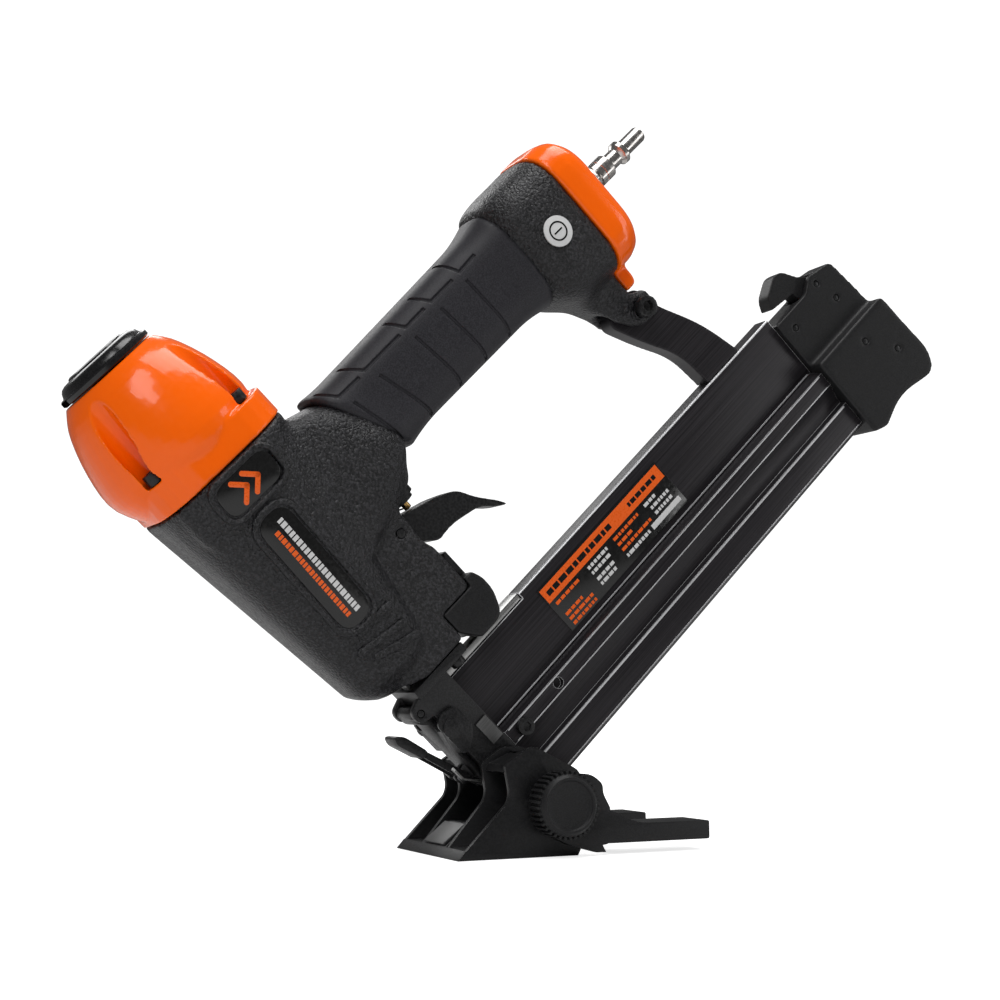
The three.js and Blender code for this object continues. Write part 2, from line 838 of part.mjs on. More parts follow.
endCapScrewZs().forEach((z, i) => {
  const screw = geometryOf(socketScrew(4, 4, 2.2, 14)).rotateY(Math.PI / 2);
  add(`end_cap_screw_${i + 1}`, screw, 'blackOxide')
    .position.set(endCapX + endCapLength - 3 + gap, 0, z);
});

/** Quarter-inch air plug: thread, hexagon, body, neck and tip. */
function airPlug() {
  const hexX = endCapX + endCapLength + gap;
  const hexRadius = plugHexAcross / Math.sqrt(3);
  const bodyX = hexX + plugHexLength;
  const neckX = bodyX + plugBodyLength;
  const tipX = hexX + plugLength;
  const barrel = turned([
    [0, hexX - 12],
    [plugNeckRadius, hexX - 12],
    [plugNeckRadius, bodyX - 1],
    [plugBodyRadius, bodyX - 1],
    [plugBodyRadius, neckX - 1.5],
    [plugNeckRadius, neckX],
    [plugNeckRadius, neckX + 6],
    [plugBodyRadius - 0.1, neckX + 8],
    [plugBodyRadius - 0.1, neckX + 10],
    [plugTipRadius, neckX + 12],
    [plugTipRadius, tipX - 1],
    [plugTipRadius - 1, tipX],
    [0, tipX],
  ], 24).rotateY(Math.PI / 2);
  const hexagon = rodX(hexRadius, hexX, bodyX, 6);
  const bore = rodX(2.6, hexX - 13, tipX + 1, 14);
  return cut(joined(barrel, hexagon), bore);
}

add('air_plug', airPlug(), 'nickel').position.z = plugZ;

add('round_badge', rodY(7.2, -tailHalfWidth - 1, -tailHalfWidth - gap / 2, 28)
  .translate(seamX - 17.5, 0, tailMidZ + 1), 'foil');

// ---------- Trigger group ----------

function trigger() {
  const x = triggerPivotX;
  const z = triggerPivotZ;
  const outline = [
    [x - 5, z - 5, 4],
    [x - 5, z + 5, 4],
    [x + 6, z + 4.5, 3],
    [x + 25, z - 1, 3],
    [x + 36, z - 6, 4],
    [x + 40, z - 14, 6],
    [x + triggerReach - 2, z - 24, 3],
    [x + triggerReach, z - 28, 2],
    [x + triggerReach - 5, z - 25, 4],
    [x + 39, z - 19, 6],
    [x + 23, z - 15.5, 6],
    [x + 14, z - 16.5, 2],
    [x + 9, z - 12, 2],
  ];
  const hole = rodY(triggerPinRadius + 0.05, -10, 10, 16).translate(x, 0, z);
  return cut(solid(plate(outline, -triggerHalfWidth, triggerHalfWidth)), hole);
}

add('trigger', trigger(), 'anodised');

add('trigger_pin', rodY(triggerPinRadius, -webHalfWidth + 0.5, webHalfWidth - 0.5, 16)
  .translate(triggerPivotX, 0, triggerPivotZ), 'steel');

function triggerValve() {
  const floor = valveFloorZ + 0.6;
  return cut(
    joined(rodZ(valveRadius, floor, floor + 20), rodZ(valveRadius - 1.5, floor - 2, floor + 1)),
    rodZ(stemRadius + 0.05, floor - 3, floor + 14, 14),
  ).translate([valveX, 0, 0]);
}

add('trigger_valve', triggerValve(), 'plastic');

const stemFloorZ = triggerPivotZ + 2.5;
const stemLength = 14;
add('valve_stem', rodZ(stemRadius, 0, stemLength, 14)
  .translate(valveX, 0, stemFloorZ), 'brass');

/** Bent return spring that bears on the trigger's back. */
function triggerSpring() {
  const wireRadius = 0.45;
  const path = new THREE.CatmullRomCurve3([
    new THREE.Vector3(47, triggerHalfWidth - 2, triggerPivotZ + 6.6),
    new THREE.Vector3(51, triggerHalfWidth - 2, triggerPivotZ + 5.0),
    new THREE.Vector3(54, triggerHalfWidth - 2, triggerPivotZ + 4.4),
    new THREE.Vector3(56.6, triggerHalfWidth - 2, triggerPivotZ + 3.2),
  ]);
  return wire(path, wireRadius, 10, 6);
}

// ---------- Contact yoke, spring and cover ----------

const yokeX = webBackX + gap;
const yokeFaceX = webBackX + yokeDepth;
const yokeFootZ = channelTopZ + gap + 0.6;
const yokeFootX = 38;

function contactYoke() {
  const half = yokeHalfWidth;
  const strip = block(yokeFaceX - yokeThickness, yokeFaceX, -half, half, yokeFootZ, yokeTopZ);
  const sides = [-half, half - yokeThickness].map((y) => plate([
    [yokeX, webFloorZ + 19],
    [yokeFaceX, webFloorZ + 17],
    [yokeFaceX, yokeTopZ],
    [yokeX, yokeTopZ - 4, 2],
  ], y, y + yokeThickness));
  const foot = block(yokeFootX, yokeFaceX, -half, half, yokeFootZ, yokeFootZ + yokeThickness);
  return joined(strip, foot, ...sides);
}

add('contact_yoke', contactYoke(), 'blackOxide');

const yokeSpringX = 43;
const yokeSpringRadius = 2.6;
add(
  'yoke_spring',
  wire(new Coil(yokeSpringRadius, yokeFootZ + yokeThickness + 0.8, webFloorZ + 14 - 0.8, 5), 0.5, 40, 5)
    .translate(yokeSpringX, 0, 0),
  'steel',
);

/** Smooth cover over the yoke's lower end, open at the front and below. */
function yokeCover() {
  const back = yokeFaceX + yokeCoverProud;
  const outline = [
    [32, webFloorZ + 0.5, 1],
    [37, channelTopZ + 1, 1],
    [back - 5, channelTopZ + 1, 5],
    [back, webFloorZ + 5, 8],
    [back, webFloorZ + 13, 4],
    [yokeFaceX - 1, webFloorZ + 18],
    [yokeX, webFloorZ + 18],
    [yokeX, webFloorZ + 14 - gap],
    [30 + gap, webFloorZ + 14 - gap],
    [30 + gap, webFloorZ + 3],
  ];
  const body = solid(plate(outline, -webHalfWidth + 0.5, webHalfWidth - 0.5));
  const inner = yokeHalfWidth + gap;
  return cut(
    body,
    block(yokeFootX - 2, yokeFaceX + gap, -inner, inner, 90, webFloorZ + 20),
  );
}

add('yoke_cover', yokeCover(), 'plastic');

// ---------- Nosepiece ----------

const flangeFloorZ = channelTopZ + 2.4;
const flangeTopZ = webFloorZ - gap;

function nosepiece() {
  const body = joined(
    plate([
      [noseFrontX, flangeFloorZ + 1],
      [noseFrontX, noseTipZ + 4, 2],
      [noseFrontX + 4, noseTipZ],
      [noseBackX, noseTipZ],
      [noseBackX, flangeFloorZ + 1],
    ], -noseHalfWidth, noseHalfWidth),
    plate([
      [noseFrontX, flangeFloorZ],
      [28, flangeFloorZ, 1],
      [28, flangeTopZ],
      [noseFrontX, flangeTopZ],
    ], -noseHalfWidth - 2, noseHalfWidth + 2),
  );
  const slot = bladeWidth / 2 + 0.3;
  return cut(
    body,
    block(-bladeThickness / 2 - 0.2, bladeThickness / 2 + 0.2, -slot, slot, noseTipZ - 1, flangeTopZ + 1),
    block(0, noseBackX + 1, -slot - 0.4, slot + 0.4, magazineSplitZ + 2, channelTopZ - railDepth - 2),
    rodY(shoePinRadius + gap, -20, 20, 16).translate(shoePinX, 0, shoePinZ),
    ...noseScrewYs.map((y) => rodZ(noseScrewRadius + gap, 90, 110, 12).translate(noseScrewX, y, 0)),
    rodY(doorPinRadius + gap, -20, 20, 14).translate(doorHingeX, 0, doorHingeZ),
  ).add(hingeEars()).add(solid(bailHook()));
}

const shoePinX = 9;
const shoePinZ = 50;
const shoePinRadius = 2.5;
const doorPinRadius = 1.6;

/** Lip in front of the nosepiece that the bail's foot catches under. */
function bailHook() {
  const z = leverPivotZ - 11;
  return plate([
    [noseFrontX + 1, z + 1],
    [noseFrontX - 3, z + 1.1],
    [noseFrontX - 3, z + 2.6],
    [noseFrontX + 1, z + 4],
  ], -5, 5);
}

/** Two ears in front of the nosepiece that carry the door's pin. */
function hingeEars() {
  const ear = [
    [noseFrontX + 1, doorHingeZ - 5],
    [doorHingeX - 3.4, doorHingeZ - 3.4, 3],
    [doorHingeX - 3.4, doorHingeZ + 3.4, 3],
    [noseFrontX + 1, doorHingeZ + 6],
  ];
  const hole = rodY(doorPinRadius + gap, -20, 20, 14).translate(doorHingeX, 0, doorHingeZ);
  return cut(
    joined(plate(ear, -noseHalfWidth, -noseHalfWidth + 3.4)).add(
      joined(plate(ear, noseHalfWidth - 3.4, noseHalfWidth)),
    ),
    hole,
  );
}

add('nosepiece', nosepiece(), 'plastic');

noseScrewYs.forEach((y, i) => {
  const screw = geometryOf(socketScrew(3.4, 3, noseScrewRadius, 14)).rotateX(Math.PI);
  add(`nose_screw_${i + 1}`, screw, 'blackOxide').position.set(noseScrewX, y, flangeFloorZ - gap);
});

add('shoe_pin', rodY(shoePinRadius, -ribInner - shoeWall, ribInner + shoeWall, 16)
  .translate(shoePinX, 0, shoePinZ), 'steel');

add('door_pin', rodY(doorPinRadius, -noseHalfWidth + 0.2, noseHalfWidth - 0.2, 14)
  .translate(doorHingeX, 0, doorHingeZ), 'steel');

add('nose_side_plate', block(
  noseBackX - 7.2, noseBackX - 0.8, -noseHalfWidth - 1.2, -noseHalfWidth - gap / 2,
  shoePinZ + 10, shoePinZ + 22,
), 'steel');

// ---------- Nose door, quick latch and bail ----------

const doorBackX = noseFrontX - gap;
const doorFrontX = doorBackX - doorThickness;

function noseDoor() {
  const floor = doorHingeZ - doorLength;
  const face = plate([
    [doorFrontX, floor, 1],
    [doorBackX, floor, 1],
    [doorBackX, doorHingeZ - 4],
    [doorHingeX + 2, doorHingeZ],
    [doorHingeX - 3, doorHingeZ],
    [doorHingeX - 3, doorHingeZ - 4, 2],
    [doorFrontX, doorHingeZ - 8],
  ], -doorHalfWidth + 2, doorHalfWidth - 2);
  const knuckle = rodY(3.2, -noseHalfWidth + 3.4 + gap, noseHalfWidth - 3.4 - gap, 18)
    .translate(doorHingeX, 0, doorHingeZ);
  const earOutline = [
    [doorFrontX, doorHingeZ - 26, 3],
    [doorFrontX + 4, doorHingeZ - 27, 3],
    [noseFrontX + 9.4, doorHingeZ - 20, 3],
    [noseFrontX + 9.4, doorHingeZ - 8, 3],
    [doorFrontX + 4, doorHingeZ - 5.6, 3],
    [doorFrontX, doorHingeZ - 9, 2],
  ];
  const ears = [-1, 1].map((side) => {
    const near = side * (noseHalfWidth + gap);
    const far = side * (noseHalfWidth + 2.6);
    return plate(earOutline, Math.min(near, far), Math.max(near, far));
  });
  const band = block(
    doorFrontX, doorBackX, -noseHalfWidth - 2.6, noseHalfWidth + 2.6,
    doorHingeZ - 25, doorHingeZ - 12,
  );
  const bosses = [-1, 1].map((side) => rodY(4.6, 0, 2, 20)
    .translate(noseFrontX + 1.4, side > 0 ? noseHalfWidth + 2 : -noseHalfWidth - 4, doorHingeZ - 14));
  const leverEars = [-1, 1].map((side) => {
    const y = side * (leverHalfWidth - 3.4);
    return plate([
      [doorBackX - 1, leverPivotZ - 3, 1],
      [leverPivotX - 2.6, leverPivotZ - 2.6, 2],
      [leverPivotX - 2.6, leverPivotZ + 2.6, 2],
      [doorBackX - 1, leverPivotZ + 4],
    ], y - 1.2, y + 1.2);
  });
  const body = joined(face, knuckle, band, ...ears, ...bosses, ...leverEars);
  return cut(
    body,
    rodY(doorPinRadius + 0.05, -20, 20, 14).translate(doorHingeX, 0, doorHingeZ),
    rodY(leverPinRadius + 0.05, -20, 20, 12).translate(leverPivotX, 0, leverPivotZ),
  );
}

const leverPinRadius = 1.1;

add('nose_door', noseDoor(), 'blackOxide');

/** Latch lever: two thin arms, a cross pin and a fat rounded grip. */
function latchLever() {
  const arms = [-1, 1].map((side) => {
    const y = side * (leverHalfWidth - 0.9);
    return plate([
      [-1.8, -2, 1.6],
      [1.8, -2, 1.6],
      [1.2, leverLength - 14],
      [-1.6, leverLength - 14],
    ], y - 0.7, y + 0.7);
  });
  const grip = plate([
    [-2.4, leverLength - 17, 1.5],
    [1.6, leverLength - 17, 1.5],
    [2.2, leverLength - 4, 2],
    [0, leverLength, 2],
    [-2.6, leverLength - 3, 2],
  ], -leverHalfWidth - 0.6, leverHalfWidth + 0.6);
  const pin = rodY(leverPinRadius, -leverHalfWidth + 0.4, leverHalfWidth - 0.4, 12);
  const body = joined(...arms, grip, pin);
  return geometryOf(body).rotateY(-leverLean).translate(leverPivotX, 0, leverPivotZ);
}

add('latch_lever', latchLever(), 'blackOxide');

const bailRise = 8; // where the bail's ends sit on the lever, above its pivot

/** Wire loop that the lever pulls tight over the nosepiece's hook. */
function latchBail() {
  const wireRadius = 0.8;
  const x = leverPivotX - bailRise * Math.tan(leverLean);
  const top = leverPivotZ + bailRise;
  const foot = leverPivotZ - 11;
  const armOuter = leverHalfWidth - 0.2;
  const half = armOuter + 1.3;
  const side = [
    [x, -armOuter - 0.65, top],
    [x, -half, top - 1.4],
    [x + 0.3, -half, top - 7],
    [noseFrontX - 4.2, -half, foot + 6],
    [noseFrontX - 1.6, -half + 0.3, foot + 1],
    [noseFrontX - 1.2, -half + 2, foot],
  ];
  const far = side.map(([a, b, c]) => [a, -b, c]).reverse();
  const path = new THREE.CatmullRomCurve3(
    [...side, ...far].map((spot) => new THREE.Vector3(...spot)),
    false,
    'catmullrom',
    0.2,
  );
  return wire(path, wireRadius, 36, 6);
}

add('latch_bail', latchBail(), 'steel');

// ---------- Magazine ----------

const channelFrontX = noseBackX + gap;
const channelBackX = magazineBackX;
const innerHalf = channelHalfWidth - channelWall;

/** Fixed upper channel: an upside-down U that the nails hang in. */
function magazineChannel() {
  const top = channelTopZ;
  const body = solid(beam([
    [-channelHalfWidth, magazineSplitZ + gap],
    [channelHalfWidth, magazineSplitZ + gap],
    [channelHalfWidth, top, 1.5],
    [-channelHalfWidth, top, 1.5],
  ], channelFrontX, channelBackX, 3));
  return cut(
    body,
    block(channelFrontX - 1, channelBackX + 1, -innerHalf, innerHalf, 0, top - railDepth - 1.6),
    block(channelFrontX - 1, capStripStartX, -channelHalfWidth - 1, channelHalfWidth + 1,
      top - railDepth, top + 1),
  );
}

add('magazine_channel', magazineChannel(), 'anodised');

add('feed_rail', block(
  channelFrontX, capStripStartX - gap, -channelHalfWidth + 0.8, channelHalfWidth - 0.8,
  channelTopZ - railDepth + gap, channelTopZ,
), 'steel');

/** Side outline of the sliding magazine's section, for the half at positive y. */
function magazineSection() {
  const w = magazineHalfWidth;
  const split = magazineSplitZ;
  const core = innerHalf - 1.4;
  const right = [
    [w - 2, magazineFloorZ, 0],
    [w, magazineFloorZ + 2],
    [w, grooveFloorZ],
    [w - grooveDepth, grooveFloorZ + 0.8],
    [w - grooveDepth, grooveFloorZ + 4],
    [w - 0.8, grooveTopZ],
    [w, grooveTopZ + 1],
    [w, split - ledgeDrop],
    [channelHalfWidth + 0.6, split - 0.1],
    [core, split - 0.1],
    [core, split + 18],
  ];
  const left = right.map(([y, z]) => [-y, z]).reverse();
  return [...right, ...left];
}

function magazineSlide() {
  const body = solid(beam(magazineSection(), channelFrontX, magazineBackX));
  return cut(
    body,
    block(channelFrontX + 6, magazineBackX + 1, -magazineHalfWidth + 5.4, magazineHalfWidth - 5.4,
      magazineFloorZ + 2.4, magazineSplitZ - 3.4),
    rodY(2.2 + gap, -20, 20, 14).translate(railScrewX, 0, railScrewZ),
    rodY(2.6, -magazineHalfWidth - 1, -magazineHalfWidth + 3, 16)
      .translate(railScrewX + 25.5, 0, railScrewZ + 1.5),
  );
}

const railScrewX = 23.5;
const railScrewZ = 54.5;

add('magazine_slide', magazineSlide(), 'anodised');

add('rail_screw', geometryOf(socketScrew(4, 2.4, 2.2, magazineHalfWidth * 2 - 2)).rotateX(Math.PI / 2), 'blackOxide')
  .position.set(railScrewX, -magazineHalfWidth - gap, railScrewZ);

add('magazine_label', block(
  73, 160, -channelHalfWidth - 0.5, -channelHalfWidth - gap / 2, magazineSplitZ + 4, channelTopZ - 6,
), 'glossBlack');

const coreHalf = innerHalf - 1.4;

/** Pusher that rides inside the channel, over the core of the sliding magazine. */
function pusher() {
  const top = channelTopZ - railDepth - 1.6 - gap;
  const x = pusherX;
  const back = x + pusherLength;
  return cut(
    joined(block(x, back, -innerHalf + gap, innerHalf - gap, magazineSplitZ + gap, top)),
    block(x - 1, back + 1, -coreHalf - gap, coreHalf + gap, 0, magazineSplitZ + 18 + gap),
  );
}

add('pusher', pusher(), 'steel');

// ---------- End block, its pins and the release latch ----------

const blockX = magazineBackX + gap;

function blockOutlineLow() {
  const back = blockX + blockLength;
  return [
    [blockX, blockFloorZ + 4, 2],
    [blockX + 8, blockFloorZ + 1, 2],
    [blockX + 25, blockFloorZ + 6.5, 10],
    [back - 4, blockFloorZ + 1, 7],
    [back + 1.5, blockFloorZ + 11, 6],
    [back, blockFloorZ + 32, 10],
    [back - 0.5, blockStepZ, 3],
    [blockX, blockStepZ, 1],
  ];
}

function blockOutlineHigh() {
  const back = blockX + blockLength;
  return [
    [blockX, blockStepZ - 6],
    [back - 2, blockStepZ - 6],
    [back - 6, blockTopZ - 1, 2],
    [blockX + 32, blockTopZ + 2, 2],
    [blockX + 24, channelTopZ - 5],
    [blockX, channelTopZ - 5],
  ];
}

function endBlock() {
  const body = joined(
    plate(blockOutlineLow(), -blockWideHalf, blockWideHalf),
    plate(blockOutlineHigh(), -blockNarrowHalf, blockNarrowHalf),
  );
  const pinHoles = blockPinSpots().map(([x, z]) => rodY(1.5 + gap, -20, 20, 12).translate(x, 0, z));
  const latchBay = block(latchPinX - 13, latchPinX + 5, -latchHalfWidth - gap, latchHalfWidth + gap,
    blockTopZ - 8, blockTopZ + 4);
  const latchPinHole = rodY(1.4 + gap, -20, 20, 12).translate(latchPinX, 0, latchPinZ);
  return cut(body, ...pinHoles, latchBay, latchPinHole);
}

function blockPinSpots() {
  return [
    [blockX + 8, blockTopZ - 11, blockNarrowHalf],
    [blockX + 37, blockTopZ - 16, blockNarrowHalf],
    [blockX + 29, blockStepZ - 10, blockWideHalf],
    [blockX + 41, blockStepZ - 25, blockWideHalf],
  ];
}

const latchPinX = blockX + 33;
const latchPinZ = blockTopZ - 3.6;

add('end_block', endBlock(), 'plastic');

blockPinSpots().forEach(([x, z, half], i) => {
  add(`block_pin_${i + 1}`, rodY(1.5, -half + 0.6, half - 0.6, 12).translate(x, 0, z), 'blackOxide');
});

function releaseLatch() {
  const outline = [
    [latchPinX + 3, latchPinZ - 3, 2],
    [latchPinX + 3, latchPinZ + 3, 2],
    [latchPinX - 4, latchPinZ + 9],
    [latchPinX - 9, latchPinZ + 16.5, 2],
    [latchPinX - 14, latchPinZ + 17.5, 2],
    [latchPinX - 24, latchPinZ + 12.5, 2],
    [latchPinX - 27, latchPinZ + 6.4, 1],
    [latchPinX - 12, latchPinZ + 4.4],
    [latchPinX - 10, latchPinZ - 3, 1],
  ];
  const hole = rodY(1.4 + 0.05, -20, 20, 12).translate(latchPinX, 0, latchPinZ);
  return cut(solid(plate(outline, -latchHalfWidth, latchHalfWidth)), hole);
}

add('release_latch', releaseLatch(), 'plastic');
add('latch_pin', rodY(1.4, -blockNarrowHalf + 0.6, blockNarrowHalf - 0.6, 12)
  .translate(latchPinX, 0, latchPinZ), 'steel');

// ---------- Arm between tail and magazine ----------

function armBracket() {
  const floor = channelTopZ + gap;
  const outline = [
    [armFootX, floor],
    [armFootX + armFootLength, floor],
    [armFootX + armFootLength - 6, floor + 22, 20],
    [armScrewX + 9, armScrewZ - 4, 14],
    [armScrewX + 7, armScrewZ + 9, 5],
    [armScrewX - 10, armScrewZ + 9, 4],
    [armScrewX - 17, armScrewZ + 4, 5],
    [armScrewX - 8, armScrewZ - 14, 14],
    [armFootX - 2, floor + 20, 14],
  ];
  const hole = rodY(armScrewRadius + gap, -20, 20, 16).translate(armScrewX, 0, armScrewZ);
  return cut(solid(plate(outline, -armHalfWidth, armHalfWidth, 6)), hole);
}

add('arm_bracket', armBracket(), 'anodised');

const lugHalfWidth = armHalfWidth + 6;
add('arm_screw', geometryOf(socketScrew(5, 5, armScrewRadius, lugHalfWidth * 2 - 1)).rotateX(Math.PI / 2), 'blackOxide')
  .position.set(armScrewX, -lugHalfWidth - gap, armScrewZ);

// ---------- Shoe (built in the world frame) ----------

/** Side outline of the shoe's outer walls. */
function shoeWallOutline() {
  return [
    [-soleHalfLength, 0],
    [soleHalfLength, 0],
    [soleHalfLength + 2, solePlate, 1],
    [soleHalfLength + 2, 36, 4],
    [7, shoeTopZ, 3],
    [kinkX - 1.2, 39.5, 1],
    [kinkX + 1, 27.5, 3],
    [kinkX, kinkZ, 2],
  ];
}

/** Inner rib: the same front, with the tool's nose let in between. */
function shoeRibOutline() {
  return [
    [-soleHalfLength + 1, 0],
    [soleHalfLength, 0],
    [soleHalfLength, 30],
    [12, shoeTopZ - 1, 3],
    [2, shoeTopZ - 1, 3],
    [kinkX - 3.2, 39.5, 1],
    [kinkX - 1, 27.5, 3],
    [kinkX - 2, kinkZ, 2],
  ];
}

const rampTopX = -soleHalfLength + 15.5;
const rampTopZ = 13.5;
const rampLean = Math.atan2(rampTopZ - solePlate, rampTopX + soleHalfLength - 3.6);

/** Wedge between the ribs that leads the board's edge under the nose. */
function rampOutline() {
  return [
    [-soleHalfLength + 3, 1],
    [rampTopX + 7, 1],
    [rampTopX + 7, rampTopZ],
    [rampTopX, rampTopZ, 1],
    [-soleHalfLength + 3.6, solePlate],
  ];
}

function mirroredPlates(outline, y0, y1) {
  return [plate(outline, y0, y1), plate(outline, -y1, -y0)];
}

function shoe() {
  const ribOuter = ribInner + shoeWall;
  const wallInner = soleHalfWidth - shoeWall;
  const body = joined(
    plate([
      [-soleHalfLength, 0],
      [soleHalfLength, 0],
      [soleHalfLength, solePlate],
      [-soleHalfLength + solePlate * 0.9, solePlate],
    ], -soleHalfWidth, soleHalfWidth),
    ...mirroredPlates(shoeWallOutline(), wallInner, soleHalfWidth),
    ...mirroredPlates(shoeRibOutline(), ribInner, ribOuter),
    plate(rampOutline(), -ribInner - 0.5, ribInner + 0.5),
    ...mirroredPlates([
      [soleHalfLength - 3, 0],
      [soleHalfLength, 0],
      [soleHalfLength, 34],
      [soleHalfLength - 3, 34],
    ], ribOuter - 0.5, wallInner + 0.5),
    ...mirroredPlates([
      [kinkX - 1, 36.5],
      [soleHalfLength, 30],
      [soleHalfLength, 32.5],
      [8, shoeTopZ - 2.5],
      [kinkX, 39.5],
    ], ribOuter - 0.5, wallInner + 0.5),
    ...[-1, 1].map((side) => rodY(8, 0, wallInner - ribOuter + 1, 20)
      .translate(knobX, side > 0 ? ribOuter - 0.5 : -wallInner - 0.5, knobZ)),
  );
  return cut(
    body,
    rodY(knobStudRadius + gap, -soleHalfWidth - 1, -ribOuter - 3, 16).translate(knobX, 0, knobZ),
    rodY(knobStudRadius + gap, ribOuter + 3, soleHalfWidth + 1, 16).translate(knobX, 0, knobZ),
    shoePinHole(),
    noseClearance(),
  );
}

function inWorld(geometry) {
  return geometry.rotateY(-nailingAngle).translate(nailLineX, 0, 0);
}

function shoePinHole() {
  return inWorld(rodY(shoePinRadius + gap, -ribInner - 9, ribInner + 9, 16)
    .translate(shoePinX, 0, shoePinZ));
}

/** Room for the nosepiece's tip and the nails where they pass the sole. */
function noseClearance() {
  return inWorld(block(
    noseFrontX - 1, noseBackX + 8, -ribInner + 0.01, ribInner - 0.01, noseTipZ - 12, noseTipZ + 30,
  ));
}

add('shoe', shoe(), 'plastic', nailer);

/** Steel strip on the ramp between the ribs. */
function wearStrip() {
  const length = Math.hypot(rampTopX + soleHalfLength - 3.6, rampTopZ - solePlate) - 1.5;
  return block(0.6, length, -ribInner + 2, ribInner - 2, gap / 2, 1.2)
    .rotateY(-rampLean)
    .translate(-soleHalfLength + 3.6, 0, solePlate);
}

add('wear_strip', wearStrip(), 'steel', nailer);

// ---------- Adjustable foot and knobs (world frame) ----------

const footInner = soleHalfWidth + gap;
const footOuter = footInner + footPlate;

function footOutline() {
  const teeth = [];
  const toothCount = 5;
  const toothRise = 3.4;
  for (let i = 0; i < toothCount; i += 1) {
    const z = 1.2 + i * toothRise;
    const x = knobX + 21 + i * 0.9;
    teeth.push([x + 1.6, z], [x, z + toothRise - 0.4]);
  }
  return [
    [knobX - 9, knobZ + 4, 5],
    [knobX - 9, knobZ - 11, 6],
    [knobX + 6, 4.5, 2],
    [knobX + 18, 1.2],
    ...teeth,
    [knobX + 25, knobZ - 2.5, 3],
    [knobX + 21.5, knobZ + 4, 3],
    [knobX + 21.5, knobZ + 8, 3],
    [knobX + 16, knobZ + 12.5, 4],
    [knobX - 4, knobZ + 13, 5],
  ];
}

function footArmOutline() {
  return [
    [knobX + 14, prongFloorZ],
    [prongBackX, prongFloorZ, 1],
    [prongBackX, prongTopZ, 1],
    [knobX + 38, prongTopZ, 6],
    [knobX + 26, knobZ - 3.4, 4],
    [knobX + 14, knobZ - 3.4],
  ];
}

function adjustableFoot() {
  const body = joined(
    ...mirroredPlates(footOutline(), footInner, footOuter),
    ...mirroredPlates(footArmOutline(), footInner, footOuter),
    ...mirroredPlates([
      [soleHalfLength + 16, prongFloorZ],
      [prongBackX, prongFloorZ, 1],
      [prongBackX, prongTopZ, 1],
      [soleHalfLength + 16, prongTopZ],
    ], prongInnerY, footOuter),
    block(soleHalfLength + 16, soleHalfLength + 24, -footInner, footInner, prongFloorZ, prongTopZ),
  );
  const slot = plate([
    [knobX - knobStudRadius - gap, knobZ - footTravel - knobStudRadius - gap, 3],
    [knobX + knobStudRadius + gap, knobZ - footTravel - knobStudRadius - gap, 3],
    [knobX + knobStudRadius + gap, knobZ + knobStudRadius + gap, 3],
    [knobX - knobStudRadius - gap, knobZ + knobStudRadius + gap, 3],
  ], -footOuter - 1, footOuter + 1);
  return cut(body, slot);
}

add('adjustable_foot', adjustableFoot(), 'plastic', nailer);

/** Ribbed clamping knob with its own threaded stud; side -1 is the left one. */
function clampKnob(side) {
  const ribs = 20;
  const outline = [];
  for (let i = 0; i < ribs * 2; i += 1) {
    const angle = (i / (ribs * 2)) * 2 * Math.PI;
    const radius = i % 2 ? knobRadius - 0.9 : knobRadius;
    outline.push([radius * Math.cos(angle), radius * Math.sin(angle)]);
  }
  const inner = footOuter + gap;
  const outer = inner + knobDepth;
  const studEnd = ribInner + shoeWall + 4;
  const rim = plate(outline, inner, outer - 1.4);
  const face = rodY(knobRadius - 1.6, outer - 2, outer, 24);
  const dish = rodY(knobRadius - 3.4, outer - 0.8, outer + 1, 24);
  const stud = rodY(knobStudRadius, studEnd, inner + 1, 16);
  const body = geometryOf(cut(joined(rim, face, stud), dish));
  if (side < 0) {
    body.rotateZ(Math.PI);
  }
  return body;
}

for (const [name, side] of [['knob_left', -1], ['knob_right', 1]]) {
  add(name, clampKnob(side), 'plastic', nailer).position.set(knobX, 0, knobZ);
}

add('trigger_spring', triggerSpring(), 'steel');

export default nailer;
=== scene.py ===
"""Pneumatic flooring nailer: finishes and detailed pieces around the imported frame.

The scene is in metres, and the sizes written below are in millimetres unless they say otherwise.
The tool frame is upright along the driver's line: x runs back along the handle, y is the tool's
right, z runs up the barrel. TOOL leans it by the nailing angle.
"""

import json
import math
import random

import bpy
from mathutils import Matrix, Vector

